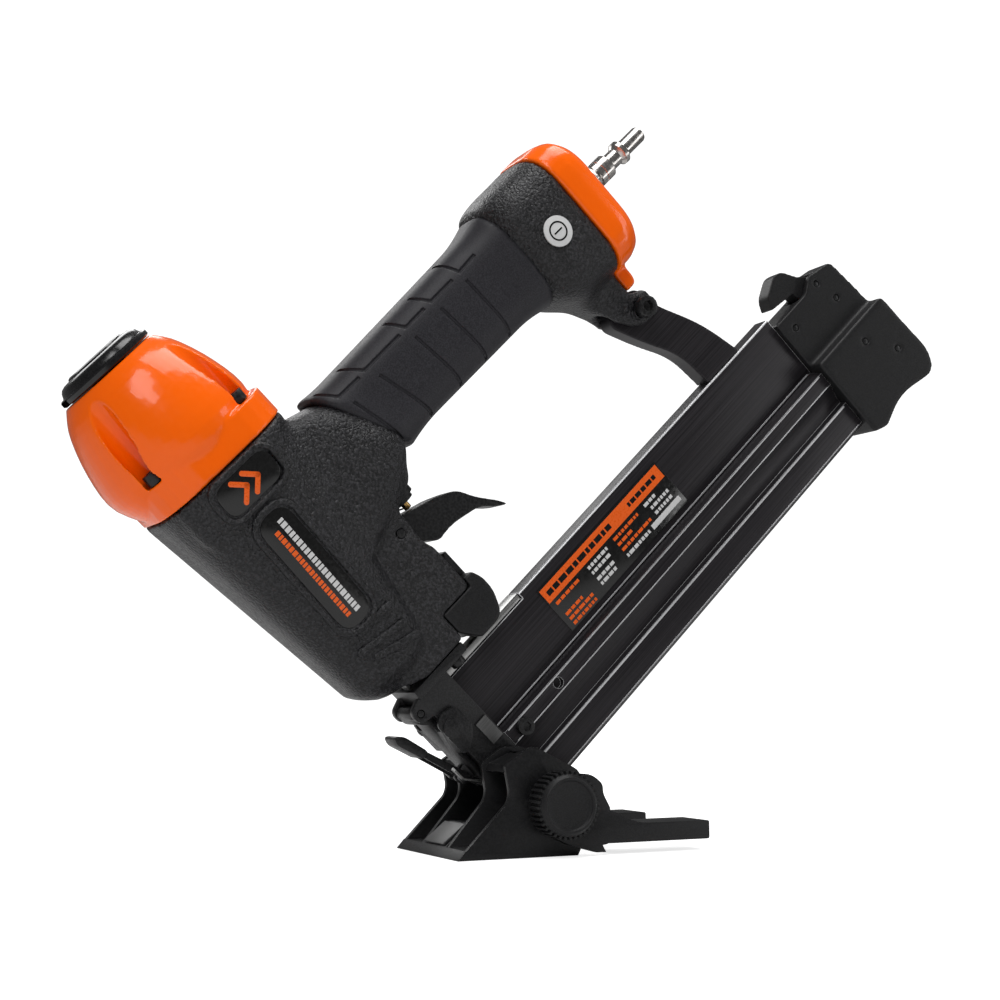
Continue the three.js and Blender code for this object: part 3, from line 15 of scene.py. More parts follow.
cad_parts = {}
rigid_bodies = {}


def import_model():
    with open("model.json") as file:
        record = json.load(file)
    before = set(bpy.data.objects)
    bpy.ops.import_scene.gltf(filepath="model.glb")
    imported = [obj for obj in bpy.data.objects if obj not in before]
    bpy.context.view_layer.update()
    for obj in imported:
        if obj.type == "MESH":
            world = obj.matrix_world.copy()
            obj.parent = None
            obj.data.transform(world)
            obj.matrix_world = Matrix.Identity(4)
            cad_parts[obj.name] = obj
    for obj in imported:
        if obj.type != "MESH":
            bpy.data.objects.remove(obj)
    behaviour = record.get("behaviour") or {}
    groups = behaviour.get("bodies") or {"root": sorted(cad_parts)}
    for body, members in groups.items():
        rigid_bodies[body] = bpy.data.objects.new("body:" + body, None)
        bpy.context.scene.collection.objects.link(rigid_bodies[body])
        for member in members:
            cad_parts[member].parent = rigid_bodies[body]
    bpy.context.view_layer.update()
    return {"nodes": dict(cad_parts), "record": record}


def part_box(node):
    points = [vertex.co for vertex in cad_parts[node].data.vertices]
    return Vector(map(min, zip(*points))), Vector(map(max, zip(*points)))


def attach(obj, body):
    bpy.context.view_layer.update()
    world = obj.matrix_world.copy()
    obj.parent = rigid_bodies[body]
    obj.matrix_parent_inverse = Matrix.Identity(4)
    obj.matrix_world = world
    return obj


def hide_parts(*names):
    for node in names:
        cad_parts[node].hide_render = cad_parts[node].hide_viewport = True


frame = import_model()

MM = 0.001
LEAN = math.radians(45)
NAIL_LINE_X = 36 * MM
TOOL = Matrix.Translation((NAIL_LINE_X, 0, 0)) @ Matrix.Rotation(-LEAN, 4, "Y")
OUTWARD = Matrix.Rotation(math.radians(90), 4, "X")  # a flat piece's +Z then faces the left side
SAME_SPOT = 0.004 * MM  # corners of a node's triangles nearer than this are one corner
FLAT_ANGLE = math.radians(0.8)  # facets that bend less than this are joined into one


def at(x, y, z):
    """A spot of the tool frame, in millimetres, as a world place in metres."""
    return TOOL @ Vector((x * MM, y * MM, z * MM))


# ---------- Working on pieces ----------

def take(*pieces):
    """Selects the pieces alone, the first of them active."""
    bpy.ops.object.select_all(action="DESELECT")
    for piece in pieces:
        piece.select_set(True)
    bpy.context.view_layer.objects.active = pieces[0]
    return pieces[0]


def edit(piece):
    """Opens the piece in edit mode with everything selected."""
    take(piece)
    bpy.ops.object.mode_set(mode="EDIT")
    bpy.ops.mesh.select_all(action="SELECT")


def leave():
    bpy.ops.object.mode_set(mode="OBJECT")


def settle(piece, place=None):
    """Bakes a piece's place into its mesh."""
    if place is not None:
        piece.matrix_world = place @ piece.matrix_world
    take(piece)
    bpy.ops.object.transform_apply(location=True, rotation=True, scale=True)
    return piece


def press(piece, kind, **values):
    """Adds one modifier and applies it."""
    modifier = piece.modifiers.new(kind.lower(), kind)
    for key, value in values.items():
        setattr(modifier, key, value)
    take(piece)
    bpy.ops.object.modifier_apply(modifier=modifier.name)
    return piece


def smooth(piece, angle=35):
    """Shades smoothly across edges flatter than the angle in degrees."""
    take(piece)
    bpy.ops.object.shade_smooth_by_angle(angle=math.radians(angle))
    return piece


def break_edges(piece, width, segments=2, angle=28, finish_number=-1):
    """Bevels the edges sharper than the angle; width in millimetres."""
    return press(piece, "BEVEL", width=width * MM, segments=segments, limit_method="ANGLE",
                 angle_limit=math.radians(angle), material=finish_number)


def pick(piece, test):
    """Selects the faces whose middle and normal pass the test, and stays in edit mode."""
    take(piece)
    bpy.ops.object.mode_set(mode="EDIT")
    bpy.ops.mesh.select_all(action="DESELECT")
    leave()
    for face in piece.data.polygons:
        face.select = test(face.center, face.normal)
    bpy.ops.object.mode_set(mode="EDIT")


def copy_of(node_name):
    """A merged copy of a frame node, ready to be shaped."""
    take(frame["nodes"][node_name])
    bpy.ops.object.duplicate()
    piece = bpy.context.view_layer.objects.active
    take(piece)
    bpy.ops.object.parent_clear(type="CLEAR_KEEP_TRANSFORM")
    bpy.ops.object.transform_apply(location=True, rotation=True, scale=True)
    piece.name = node_name + "_piece"
    piece.data.name = piece.name
    piece.data.materials.clear()
    edit(piece)
    bpy.ops.mesh.remove_doubles(threshold=SAME_SPOT)
    bpy.ops.mesh.customdata_custom_splitnormals_clear()
    leave()
    return piece


def machined(node_name, finish, width=0.5, segments=2, angle=28, highlight_finish=None):
    """The node with its flats joined and its edges broken, the broken edges given a light finish as
    a painted highlight when one is given.
    """
    piece = copy_of(node_name)
    dress(piece, finish, *([highlight_finish] if highlight_finish else []))
    edit(piece)
    bpy.ops.mesh.dissolve_limited(angle_limit=FLAT_ANGLE)
    leave()
    break_edges(piece, width, segments, angle, 1 if highlight_finish else -1)
    return smooth(piece)


def moulded(node_name, voxel, rounds):
    """The node as cast or moulded: remade in voxels, then smoothed that many rounds."""
    piece = copy_of(node_name)
    press(piece, "REMESH", mode="VOXEL", voxel_size=voxel * MM)
    press(piece, "SMOOTH", factor=0.5, iterations=rounds)
    take(piece)
    bpy.ops.object.shade_smooth()
    return piece


def press_part(piece, weigh, kind, **values):
    """A modifier that works as strongly as weigh(x, y, z), in the tool frame, says."""
    back = TOOL.inverted()
    group = piece.vertex_groups.new(name="part")
    for vertex in piece.data.vertices:
        weight = weigh(*((back @ vertex.co) / MM))
        if weight > 0:
            group.add([vertex.index], min(1.0, weight), "ADD")
    press(piece, kind, vertex_group="part", **values)
    piece.vertex_groups.clear()
    return piece


def soften(piece, low, high, rounds, fade=7):
    """Smooths what lies in a box of the tool frame, less and less towards the box's faces."""
    return press_part(
        piece,
        lambda *spot: min(min(v - a, b - v) for v, a, b in zip(spot, low, high)) / fade,
        "SMOOTH", factor=0.5, iterations=rounds)


bodies_of = {}
for body_name, body_nodes in frame["record"]["behaviour"]["bodies"].items():
    for body_node in body_nodes:
        bodies_of[body_node] = body_name


def stand_for(piece, finish, slot, *nodes):
    """The piece takes the place of frame nodes and rides on their body."""
    if not piece.data.materials:
        dress(piece, finish)
    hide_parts(*nodes)
    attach(piece, bodies_of[nodes[0]])
    return piece


def fit_on(piece, name, finish, body="frame"):
    """A further piece on a body."""
    piece.name = name
    piece.data.name = name
    if not piece.data.materials:
        dress(piece, finish)
    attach(piece, body)
    return piece


def dress(piece, *finishes):
    """Gives the piece these finishes, in this order, in place of its own."""
    piece.data.materials.clear()
    for finish in finishes:
        piece.data.materials.append(finish)


# ---------- Shader groups ----------

def new_group(name, inputs, outputs):
    """An empty shader group, with its inner input sockets and its inner output sockets."""
    group = bpy.data.node_groups.new(name, "ShaderNodeTree")
    for label, kind, value in inputs:
        socket = group.interface.new_socket(name=label, in_out="INPUT", socket_type=kind)
        if value is not None:
            socket.default_value = value
    for label, kind in outputs:
        group.interface.new_socket(name=label, in_out="OUTPUT", socket_type=kind)
    entry = group.nodes.new("NodeGroupInput")
    way_out = group.nodes.new("NodeGroupOutput")
    return group, entry.outputs, way_out.inputs


FLOAT = "NodeSocketFloat"
VECTOR = "NodeSocketVector"


def node(tree, kind, links=None, **settings):
    """One shader node; links maps an input name or number to a socket or a value."""
    made = tree.nodes.new(kind)
    for key, value in settings.items():
        setattr(made, key, value)
    for key, value in (links or {}).items():
        socket = made.inputs[key]
        if isinstance(value, bpy.types.NodeSocket):
            tree.links.new(value, socket)
        else:
            socket.default_value = value
    return made


def ramp(tree, source, stops):
    """A grey value read off (place, shade) stops."""
    made = node(tree, "ShaderNodeValToRGB", {"Fac": source})
    points = made.color_ramp.elements
    while len(points) < len(stops):
        points.new(0.5)
    for point, (place, shade) in zip(points, stops):
        point.position = place
        point.color = (shade, shade, shade, 1)
    return made.outputs["Color"]


def grain_group():
    """Fine moulded grain: a height and a mask from the piece's own coordinates."""
    group, given, out = new_group(
        "moulded_grain",
        [("Place", VECTOR, None), ("Scale", FLOAT, 1500.0), ("Detail", FLOAT, 3.0)],
        [("Height", FLOAT), ("Mask", FLOAT)],
    )
    noise = node(group, "ShaderNodeTexNoise", {
        "Vector": given["Place"], "Scale": given["Scale"], "Detail": given["Detail"],
    })
    half = node(group, "ShaderNodeMath", {0: given["Scale"], 1: 0.35}, operation="MULTIPLY")
    coarse = node(group, "ShaderNodeTexNoise", {
        "Vector": given["Place"], "Scale": half.outputs[0], "Detail": 1.0,
    })
    both = node(group, "ShaderNodeMath", {0: noise.outputs["Fac"], 1: coarse.outputs["Fac"]},
                operation="ADD")
    group.links.new(both.outputs[0], out["Height"])
    group.links.new(ramp(group, noise.outputs["Fac"], [(0.4, 0.0), (0.62, 1.0)]), out["Mask"])
    return group


def wrinkle_group():
    """Wrinkle coat: small rounded lumps with creases between them; its Lump mask paints the lumps
    lighter and the creases darker, a painted highlight and painted shade on the relief.
    """
    group, given, out = new_group(
        "wrinkle_coat",
        [("Place", VECTOR, None), ("Scale", FLOAT, 880.0), ("Crease", FLOAT, 0.6)],
        [("Height", FLOAT), ("Lump", FLOAT)],
    )
    warp = node(group, "ShaderNodeTexNoise", {
        "Vector": given["Place"], "Scale": 900.0, "Detail": 2.0,
    })
    sway = node(group, "ShaderNodeVectorMath", {0: warp.outputs["Color"], "Scale": 0.0012},
                operation="SCALE")
    place = node(group, "ShaderNodeVectorMath", {0: given["Place"], 1: sway.outputs[0]},
                 operation="ADD")
    cells = node(group, "ShaderNodeTexVoronoi", {
        "Vector": place.outputs[0], "Scale": given["Scale"],
    }, feature="SMOOTH_F1")
    noise = node(group, "ShaderNodeTexNoise", {
        "Vector": place.outputs[0], "Scale": given["Scale"], "Detail": 2.0,
    })
    deep = node(group, "ShaderNodeMath", {0: cells.outputs["Distance"], 1: given["Crease"]},
                operation="MULTIPLY")
    height = node(group, "ShaderNodeMath", {0: noise.outputs["Fac"], 1: deep.outputs[0]},
                  operation="SUBTRACT")
    group.links.new(height.outputs[0], out["Height"])
    group.links.new(ramp(group, height.outputs[0], [(0.18, 0.0), (0.46, 1.0)]), out["Lump"])
    return group


def brushed_group():
    """Fine lines drawn along the tool's handle and magazine direction."""
    group, given, out = new_group(
        "drawn_lines",
        [("Place", VECTOR, None), ("Across", FLOAT, 2600.0), ("Along", FLOAT, 14.0)],
        [("Height", FLOAT), ("Streak", FLOAT)],
    )
    turned_place = node(group, "ShaderNodeMapping", {
        "Vector": given["Place"], "Rotation": (0.0, LEAN, 0.0),
    })
    scale = node(group, "ShaderNodeCombineXYZ", {
        "X": given["Along"], "Y": given["Across"], "Z": given["Across"],
    })
    stretched = node(group, "ShaderNodeVectorMath", {
        0: turned_place.outputs[0], 1: scale.outputs[0],
    }, operation="MULTIPLY")
    noise = node(group, "ShaderNodeTexNoise", {
        "Vector": stretched.outputs[0], "Scale": 1.0, "Detail": 3.0,
    })
    group.links.new(noise.outputs["Fac"], out["Height"])
    group.links.new(ramp(group, noise.outputs["Fac"], [(0.3, 0.0), (0.7, 1.0)]), out["Streak"])
    return group


def wear_group():
    """Rubbed edges and a little uneven dust."""
    group, given, out = new_group(
        "edge_wear",
        [("Place", VECTOR, None), ("Reach", FLOAT, 0.5), ("Dust", FLOAT, 0.3)],
        [("Edge", FLOAT), ("Dust", FLOAT)],
    )
    bend = node(group, "ShaderNodeNewGeometry")
    edge = ramp(group, bend.outputs["Pointiness"], [(0.515, 0.0), (0.56, 1.0)])
    breakup = node(group, "ShaderNodeTexNoise", {
        "Vector": given["Place"], "Scale": 260.0, "Detail": 4.0,
    })
    broken = node(group, "ShaderNodeMath", {0: edge, 1: breakup.outputs["Fac"]},
                  operation="MULTIPLY")
    reach = node(group, "ShaderNodeMath", {0: broken.outputs[0], 1: given["Reach"]},
                 operation="MULTIPLY", use_clamp=True)
    cloud = node(group, "ShaderNodeTexNoise", {
        "Vector": given["Place"], "Scale": 38.0, "Detail": 5.0,
    })
    dust = node(group, "ShaderNodeMath", {
        0: ramp(group, cloud.outputs["Fac"], [(0.42, 0.0), (0.72, 1.0)]), 1: given["Dust"],
    }, operation="MULTIPLY")
    group.links.new(reach.outputs[0], out["Edge"])
    group.links.new(dust.outputs[0], out["Dust"])
    return group


GRAIN = grain_group()
WRINKLE = wrinkle_group()
BRUSHED = brushed_group()
WEAR = wear_group()


# ---------- Finishes ----------

def mixed(tree, amount, dark, light):
    """A colour between two, by a mask."""
    made = node(tree, "ShaderNodeMix", {"Factor": amount}, data_type="RGBA")
    for socket, value in ((made.inputs[6], dark), (made.inputs[7], light)):
        if isinstance(value, bpy.types.NodeSocket):
            tree.links.new(value, socket)
        else:
            socket.default_value = (*value, 1)
    return made.outputs[2]


def spread(tree, source, low, high):
    """A value from 0 to 1 spread between two others."""
    made = node(tree, "ShaderNodeMapRange", {"Value": source, "To Min": low, "To Max": high})
    return made.outputs["Result"]


def finish_of(name, pattern, base, worn, rough, metal=0.0, scale=None, bump=0.2, height=0.1,
              edge=0.5, dust=0.3, tone_and_relief_shade=0.35, **shader_values):
    """A procedural finish: pattern group for colour and height, worn edges, uneven roughness. The
    pattern's mask lightens the colour: a random tone for grain and drawn lines, and a painted
    highlight on the lumps and painted shade in the creases of the wrinkle coat.
    """
    material = bpy.data.materials.new(name)
    material.use_nodes = True
    tree = material.node_tree
    shader = tree.nodes["Principled BSDF"]
    place = node(tree, "ShaderNodeTexCoord").outputs["Object"]
    surface = node(tree, "ShaderNodeGroup", node_tree=pattern)
    tree.links.new(place, surface.inputs["Place"])
    if scale is not None:
        surface.inputs[1].default_value = scale
    wear = node(tree, "ShaderNodeGroup", node_tree=WEAR)
    tree.links.new(place, wear.inputs["Place"])
    wear.inputs["Reach"].default_value = edge
    wear.inputs["Dust"].default_value = dust
    # A lighter copy of the base: a random tone for grain and lines, painted highlight and painted
    # shade for the wrinkle coat.
    light_tone_and_highlight = tuple(min(1.0, value * (1 + tone_and_relief_shade) + 0.004 * tone_and_relief_shade) for value in base)
    colour = mixed(tree, surface.outputs[1], base, light_tone_and_highlight)
    colour = mixed(tree, wear.outputs["Edge"], colour, worn)
    tree.links.new(colour, shader.inputs["Base Color"])
    low, high = rough
    uneven = node(tree, "ShaderNodeMath", {0: wear.outputs["Dust"], 1: surface.outputs[1]},
                  operation="ADD")
    tree.links.new(spread(tree, uneven.outputs[0], low, high), shader.inputs["Roughness"])
    shader.inputs["Metallic"].default_value = metal
    relief = node(tree, "ShaderNodeBump", {
        "Strength": bump, "Distance": height * MM, "Height": surface.outputs["Height"],
    })
    tree.links.new(relief.outputs["Normal"], shader.inputs["Normal"])
    for key, value in shader_values.items():
        shader.inputs[key.replace("_", " ")].default_value = value
    return material


# The wrinkle coat's lumps are painted much lighter than its creases: painted highlight and painted
# shade on the relief.
wrinkle_black = finish_of(
    "wrinkle_black", WRINKLE, (0.0035, 0.0034, 0.0042), (0.03, 0.03, 0.032), (0.3, 0.48),
    bump=1.0, height=0.75, edge=0.15, tone_and_relief_shade=3.2, Specular_IOR_Level=0.38)
orange_gloss = finish_of(
    "orange_gloss", GRAIN, (1.0, 0.13, 0.0), (1.0, 0.24, 0.02), (0.16, 0.24),
    scale=500.0, bump=0.05, height=0.1, edge=0.3, tone_and_relief_shade=0.02, Specular_IOR_Level=0.22,
    Coat_Weight=0.22, Coat_Roughness=0.05)
grip_rubber = finish_of(
    "grip_rubber", GRAIN, (0.0145, 0.014, 0.017), (0.03, 0.03, 0.03), (0.46, 0.6),
    scale=1900.0, bump=0.35, height=0.08, edge=0.2, tone_and_relief_shade=0.7, Specular_IOR_Level=0.28)
anodised = finish_of(
    "black_anodised", BRUSHED, (0.0075, 0.0065, 0.0078), (0.3, 0.3, 0.3), (0.3, 0.46),
    metal=0.2, bump=0.3, height=0.05, edge=0.0, tone_and_relief_shade=1.6, Specular_IOR_Level=0.28)
dark_steel = finish_of(
    "black_oxide", GRAIN, (0.008, 0.008, 0.0085), (0.3, 0.3, 0.3), (0.3, 0.45),
    metal=0.3, scale=1400.0, bump=0.15, height=0.06, edge=0.0, tone_and_relief_shade=1.0, Specular_IOR_Level=0.45)
black_plastic = finish_of(
    "black_plastic", GRAIN, (0.006, 0.006, 0.0065), (0.06, 0.06, 0.062), (0.4, 0.54),
    scale=2300.0, bump=0.3, height=0.06, edge=0.0, tone_and_relief_shade=0.8, Specular_IOR_Level=0.28)
shoe_plastic = finish_of(
    "shoe_plastic", GRAIN, (0.006, 0.006, 0.0065), (0.2, 0.2, 0.2), (0.36, 0.46),
    scale=1500.0, bump=0.12, height=0.04, edge=0.0, dust=0.1, tone_and_relief_shade=0.5, Specular_IOR_Level=0.28)
# Painted highlight: a light grey for the shoe's broken edges, standing in for light along them.
rubbed_plastic = finish_of(
    "rubbed_plastic", GRAIN, (0.2, 0.2, 0.2), (0.2, 0.2, 0.2), (0.34, 0.5),
    scale=1500.0, bump=0.15, height=0.06, edge=0.0, tone_and_relief_shade=0.8)
cover_gloss = finish_of(
    "cover_gloss", GRAIN, (0.004, 0.004, 0.0045), (0.08, 0.08, 0.08), (0.16, 0.24),
    scale=900.0, bump=0.02, height=0.02, edge=0.0, dust=0.15, tone_and_relief_shade=0.5)
label_black = finish_of(
    "label_black", GRAIN, (0.0045, 0.0045, 0.0045), (0.03, 0.03, 0.03), (0.1, 0.2),
    scale=700.0, bump=0.03, height=0.03, edge=0.0, tone_and_relief_shade=0.3)
label_orange = finish_of(
    "label_orange", GRAIN, (0.8, 0.11, 0.006), (0.9, 0.2, 0.02), (0.25, 0.35),
    scale=900.0, bump=0.04, height=0.03, edge=0.0, tone_and_relief_shade=0.05)
label_white = finish_of(
    "label_white", GRAIN, (0.62, 0.62, 0.62), (0.85, 0.85, 0.85), (0.3, 0.42),
    scale=900.0, bump=0.04, height=0.03, edge=0.0, tone_and_relief_shade=0.05)
bright_steel = finish_of(
    "steel", BRUSHED, (0.36, 0.36, 0.355), (0.7, 0.7, 0.7), (0.24, 0.4),
    metal=1.0, bump=0.12, height=0.04, edge=0.0, tone_and_relief_shade=0.3)
nickel = finish_of(
    "nickel", GRAIN, (0.5, 0.48, 0.46), (0.8, 0.79, 0.77), (0.16, 0.28),
    metal=1.0, scale=600.0, bump=0.04, height=0.05, edge=0.0, tone_and_relief_shade=0.1)
# Painted highlight: bright metal for the magazine's broken edges and side lines, standing in for
# light off its chamfers.
milled_edge = finish_of(
    "milled_edge", BRUSHED, (0.42, 0.42, 0.43), (0.7, 0.7, 0.7), (0.3, 0.45),
    metal=0.5, bump=0.1, height=0.03, edge=0.0, tone_and_relief_shade=0.6)
brass = finish_of(
    "brass", GRAIN, (0.45, 0.28, 0.1), (0.7, 0.52, 0.25), (0.22, 0.38),
    metal=1.0, scale=900.0, bump=0.08, height=0.04, edge=0.0, tone_and_relief_shade=0.2)
bare_metal = finish_of(
    "bare_aluminium", BRUSHED, (0.45, 0.45, 0.45), (0.7, 0.7, 0.7), (0.3, 0.45),
    metal=1.0, bump=0.1, height=0.04, edge=0.0, tone_and_relief_shade=0.2)
dull_metal = finish_of(
    "dull_metal", BRUSHED, (0.09, 0.09, 0.09), (0.7, 0.7, 0.7), (0.4, 0.55),
    metal=0.8, bump=0.12, height=0.04, edge=0.0, tone_and_relief_shade=0.5)
satin_black = finish_of(
    "satin_black", GRAIN, (0.006, 0.006, 0.0065), (0.06, 0.06, 0.062), (0.28, 0.42),
    scale=900.0, bump=0.15, height=0.05, edge=0.0, tone_and_relief_shade=0.6, Specular_IOR_Level=0.4)
urethane = finish_of(
    "urethane", GRAIN, (0.2, 0.06, 0.025), (0.3, 0.1, 0.05), (0.4, 0.55),
    scale=1200.0, bump=0.15, height=0.06, edge=0.0, tone_and_relief_shade=0.3)

FINISH_OF_SLOT = {
    "wrinkle_black": wrinkle_black,
    "orange_gloss": orange_gloss,
    "grip_rubber": grip_rubber,
    "black_anodised": anodised,
    "steel": bright_steel,
    "nickel": nickel,
    "black_oxide": dark_steel,
    "black_plastic": black_plastic,
    "label_gloss": label_black,
    "cover_gloss": cover_gloss,
    "brass": brass,
    "bare_aluminium": bare_metal,
    "urethane": urethane,
    "foil": label_white,
}
slot_of = {part["node"]: part["material_slot"] for part in frame["record"]["subparts"]}
for node_name, cad_object in frame["nodes"].items():
    for cad_slot in cad_object.material_slots:
        cad_slot.material = FINISH_OF_SLOT[slot_of[node_name]]


# ---------- Pieces shaped from the frame's own solids ----------

def keep_shape(node_name, finish=None, width=0.5, segments=2, angle=28, highlight_finish=None):
    """A machined or pressed node, remade with broken edges, in its own finish or another."""
    slot = slot_of[node_name]
    finish = finish or FINISH_OF_SLOT[slot]
    piece = machined(node_name, finish, width, segments, angle, highlight_finish)
    return stand_for(piece, finish, slot, node_name)


def cast_shape(node_name, voxel, rounds, finish=None, soft=()):
    """A cast or moulded node, smoothed further in boxes of (low, high, rounds)."""
    slot = slot_of[node_name]
    piece = moulded(node_name, voxel, rounds)
    for low, high, more_rounds in soft:
        soften(piece, low, high, more_rounds)
    return stand_for(piece, finish or FINISH_OF_SLOT[slot], slot, node_name)


NECK = ((8, -60, 160), (84, 60, 226), 260)  # where the handle grows out of the barrel
SHOULDER = ((38, -60, 195), (84, 60, 250), 200)  # round the front end of the grip
TAIL = ((145, -60, 150), (203, 60, 250), 120)  # behind the grip, up to the end cap
BLOCK_TOP = ((232, -30, 55), (310, 30, 73), 25)
cast_shape("main_housing", 1.3, 7, soft=[NECK, SHOULDER, TAIL])
cast_shape("cylinder_cap", 0.75, 4)
cast_shape("end_cap", 0.9, 12)
cast_shape("end_block", 0.8, 5, soft=[BLOCK_TOP])
cast_shape("yoke_cover", 0.6, 6)
cast_shape("release_latch", 0.5, 5)
cast_shape("trigger", 0.5, 5, satin_black)
cast_shape("arm_bracket", 0.6, 5)
# The magazine's and the shoe's broken edges carry a painted highlight finish.
keep_shape("magazine_channel", width=0.45, highlight_finish=milled_edge)
keep_shape("magazine_slide", width=0.45, highlight_finish=milled_edge)
keep_shape("nose_side_plate", dull_metal, width=0.3)
keep_shape("wear_strip", dull_metal, width=0.3)
# The shoe's broken edges get a painted highlight finish.
keep_shape("shoe", shoe_plastic, width=0.4, highlight_finish=rubbed_plastic)
for part in ("trigger_pin", "door_pin", "shoe_pin", "latch_pin"):
    keep_shape(part, dark_steel, width=0.3)
for part, width in (
    ("contact_yoke", 0.3), ("nosepiece", 0.25), ("nose_door", 0.35), ("latch_lever", 0.35),
    ("adjustable_foot", 0.5), ("feed_rail", 0.25), ("side_label", 0.15), ("name_plate", 0.15),
    ("round_badge", 0.1), ("magazine_label", 0.05), ("pusher", 0.3), ("exhaust_hub", 0.25),
    ("trigger_valve", 0.3), ("valve_stem", 0.3), ("arm_screw", 0.3), ("rail_screw", 0.3),
):
    keep_shape(part, width=width)
for stem, count in (("cap_screw", 4), ("end_cap_screw", 2), ("nose_screw", 2), ("block_pin", 4)):
    for number in range(1, count + 1):
        keep_shape(f"{stem}_{number}", width=0.25)


# ---------- Turned pieces ----------

def turned(profile, sides=72, ring=False):
    """Profile of (radius, z) in millimetres swept round z, ring by ring; capped unless a ring."""
    (radius, z), rest = profile[0], profile[1:]
    bpy.ops.object.select_all(action="DESELECT")
    bpy.ops.mesh.primitive_circle_add(vertices=sides, radius=radius * MM, location=(0, 0, 0),
                                      fill_type="NOTHING" if ring else "NGON")
    piece = bpy.context.object
    edit(piece)
    bpy.ops.transform.translate(value=(0, 0, z * MM))
    for next_radius, next_z in rest:
        bpy.ops.mesh.extrude_region_move(
            TRANSFORM_OT_translate={"value": (0, 0, (next_z - z) * MM)})
        share = next_radius / radius
        bpy.ops.transform.resize(value=(share, share, 1), center_override=(0, 0, next_z * MM))
        radius, z = next_radius, next_z
    bpy.ops.mesh.select_all(action="SELECT")
    bpy.ops.mesh.remove_doubles(threshold=0.002 * MM)
    bpy.ops.mesh.normals_make_consistent(inside=False)
    leave()
    return piece


def weld(*pieces):
    """Joins the pieces into the first one's object."""
    take(*pieces)
    bpy.ops.object.join()
    return bpy.context.view_layer.objects.active


def carve(piece, cutter):
    """Takes the cutter out of the piece and removes the cutter."""
    press(piece, "BOOLEAN", operation="DIFFERENCE", object=cutter, solver="EXACT")
    take(cutter)
    bpy.ops.object.delete()
    return piece


def brick(low, high):
    """A box between two corners in millimetres."""
    bpy.ops.object.select_all(action="DESELECT")
    bpy.ops.mesh.primitive_cube_add(size=1)
    piece = bpy.context.object
    piece.scale = [(b - a) * MM for a, b in zip(low, high)]
    piece.location = [(a + b) / 2 * MM for a, b in zip(low, high)]
    return settle(piece)


CAP_TOP = 290.3  # height of the cylinder cap's flat top along the driver's line


def exhaust_cover():
    """Stepped round cover with a hollow middle and one exhaust mouth in its rim."""
    mouth_half_width, mouth_from, mouth_to, mouth_height = 6, -26, -10, 3.3
    profile = [
        (9.3, 0.4), (22.4, 0.4), (23.4, 1.1), (23.4, 2.9), (22.7, 3.6), (21.4, 3.8), (21.0, 4.4),
        (20.4, 5.8), (19.2, 7.0), (17.4, 7.6), (14.6, 7.9), (14.2, 8.5), (13.2, 8.9), (12.4, 8.7),
        (12.1, 7.9), (12.1, 6.1), (9.3, 6.1), (9.3, 0.4),
    ]
    piece = turned([(r, z + CAP_TOP) for r, z in profile], 96, ring=True)
    carve(piece, brick((mouth_from, -mouth_half_width, CAP_TOP - 1),
                       (mouth_to, mouth_half_width, CAP_TOP + mouth_height)))
    edit(piece)
    bpy.ops.mesh.dissolve_degenerate(threshold=0.01 * MM)
    leave()
    settle(piece, TOOL)
    smooth(piece, 30)
    piece.name = "exhaust_cover_piece"
    return stand_for(piece, cover_gloss, "cover_gloss", "exhaust_cover")


exhaust_cover()


def air_plug():
    """Hexagon, thread relief, shouldered body, ball groove and tip, with a bore in its tip."""
    hexagon_x, axis_z = 228.2, 204.2  # where the hexagon starts, and the height of the bore
    shape = [
        (4.2, -12), (4.2, -0.6), (5.4, -0.4), (5.6, 0), (5.6, 8.2), (5.0, 8.5), (5.0, 9.4),
        (6.0, 9.8), (6.0, 12.6), (5.75, 12.8), (5.75, 13.3), (6.0, 13.5), (6.0, 18.4), (5.5, 19.0),
        (4.3, 19.6), (4.2, 20.4), (4.2, 25.6), (4.6, 26.2), (5.9, 27.4), (5.95, 29.6), (5.2, 30.4),
        (4.1, 31.0), (4.0, 31.6), (4.0, 42.8), (3.7, 43.6), (3.2, 43.9), (2.7, 43.6), (2.6, 43),
        (2.6, 30),
    ]
    body = turned(shape, 64)
    bpy.ops.object.select_all(action="DESELECT")
    bpy.ops.mesh.primitive_cylinder_add(vertices=6, radius=8.25 * MM, depth=7.6 * MM,
                                        location=(0, 0, 4.1 * MM))
    nut = bpy.context.object
    settle(nut)
    chamfer = turned([(6.9, 0.2), (8.3, 1.3), (8.3, 6.9), (6.9, 7.95)], 48)
    press(nut, "BOOLEAN", operation="INTERSECT", object=chamfer, solver="EXACT")
    take(chamfer)
    bpy.ops.object.delete()
    break_edges(nut, 0.15, 2, 20)
    piece = weld(body, nut)
    lay = Matrix.Translation((hexagon_x * MM, 0, axis_z * MM)) @ Matrix.Rotation(
        math.radians(90), 4, "Y")
    settle(piece, TOOL @ lay)
    smooth(piece, 30)
    piece.name = "air_plug_piece"
    return stand_for(piece, nickel, "nickel", "air_plug")


air_plug()


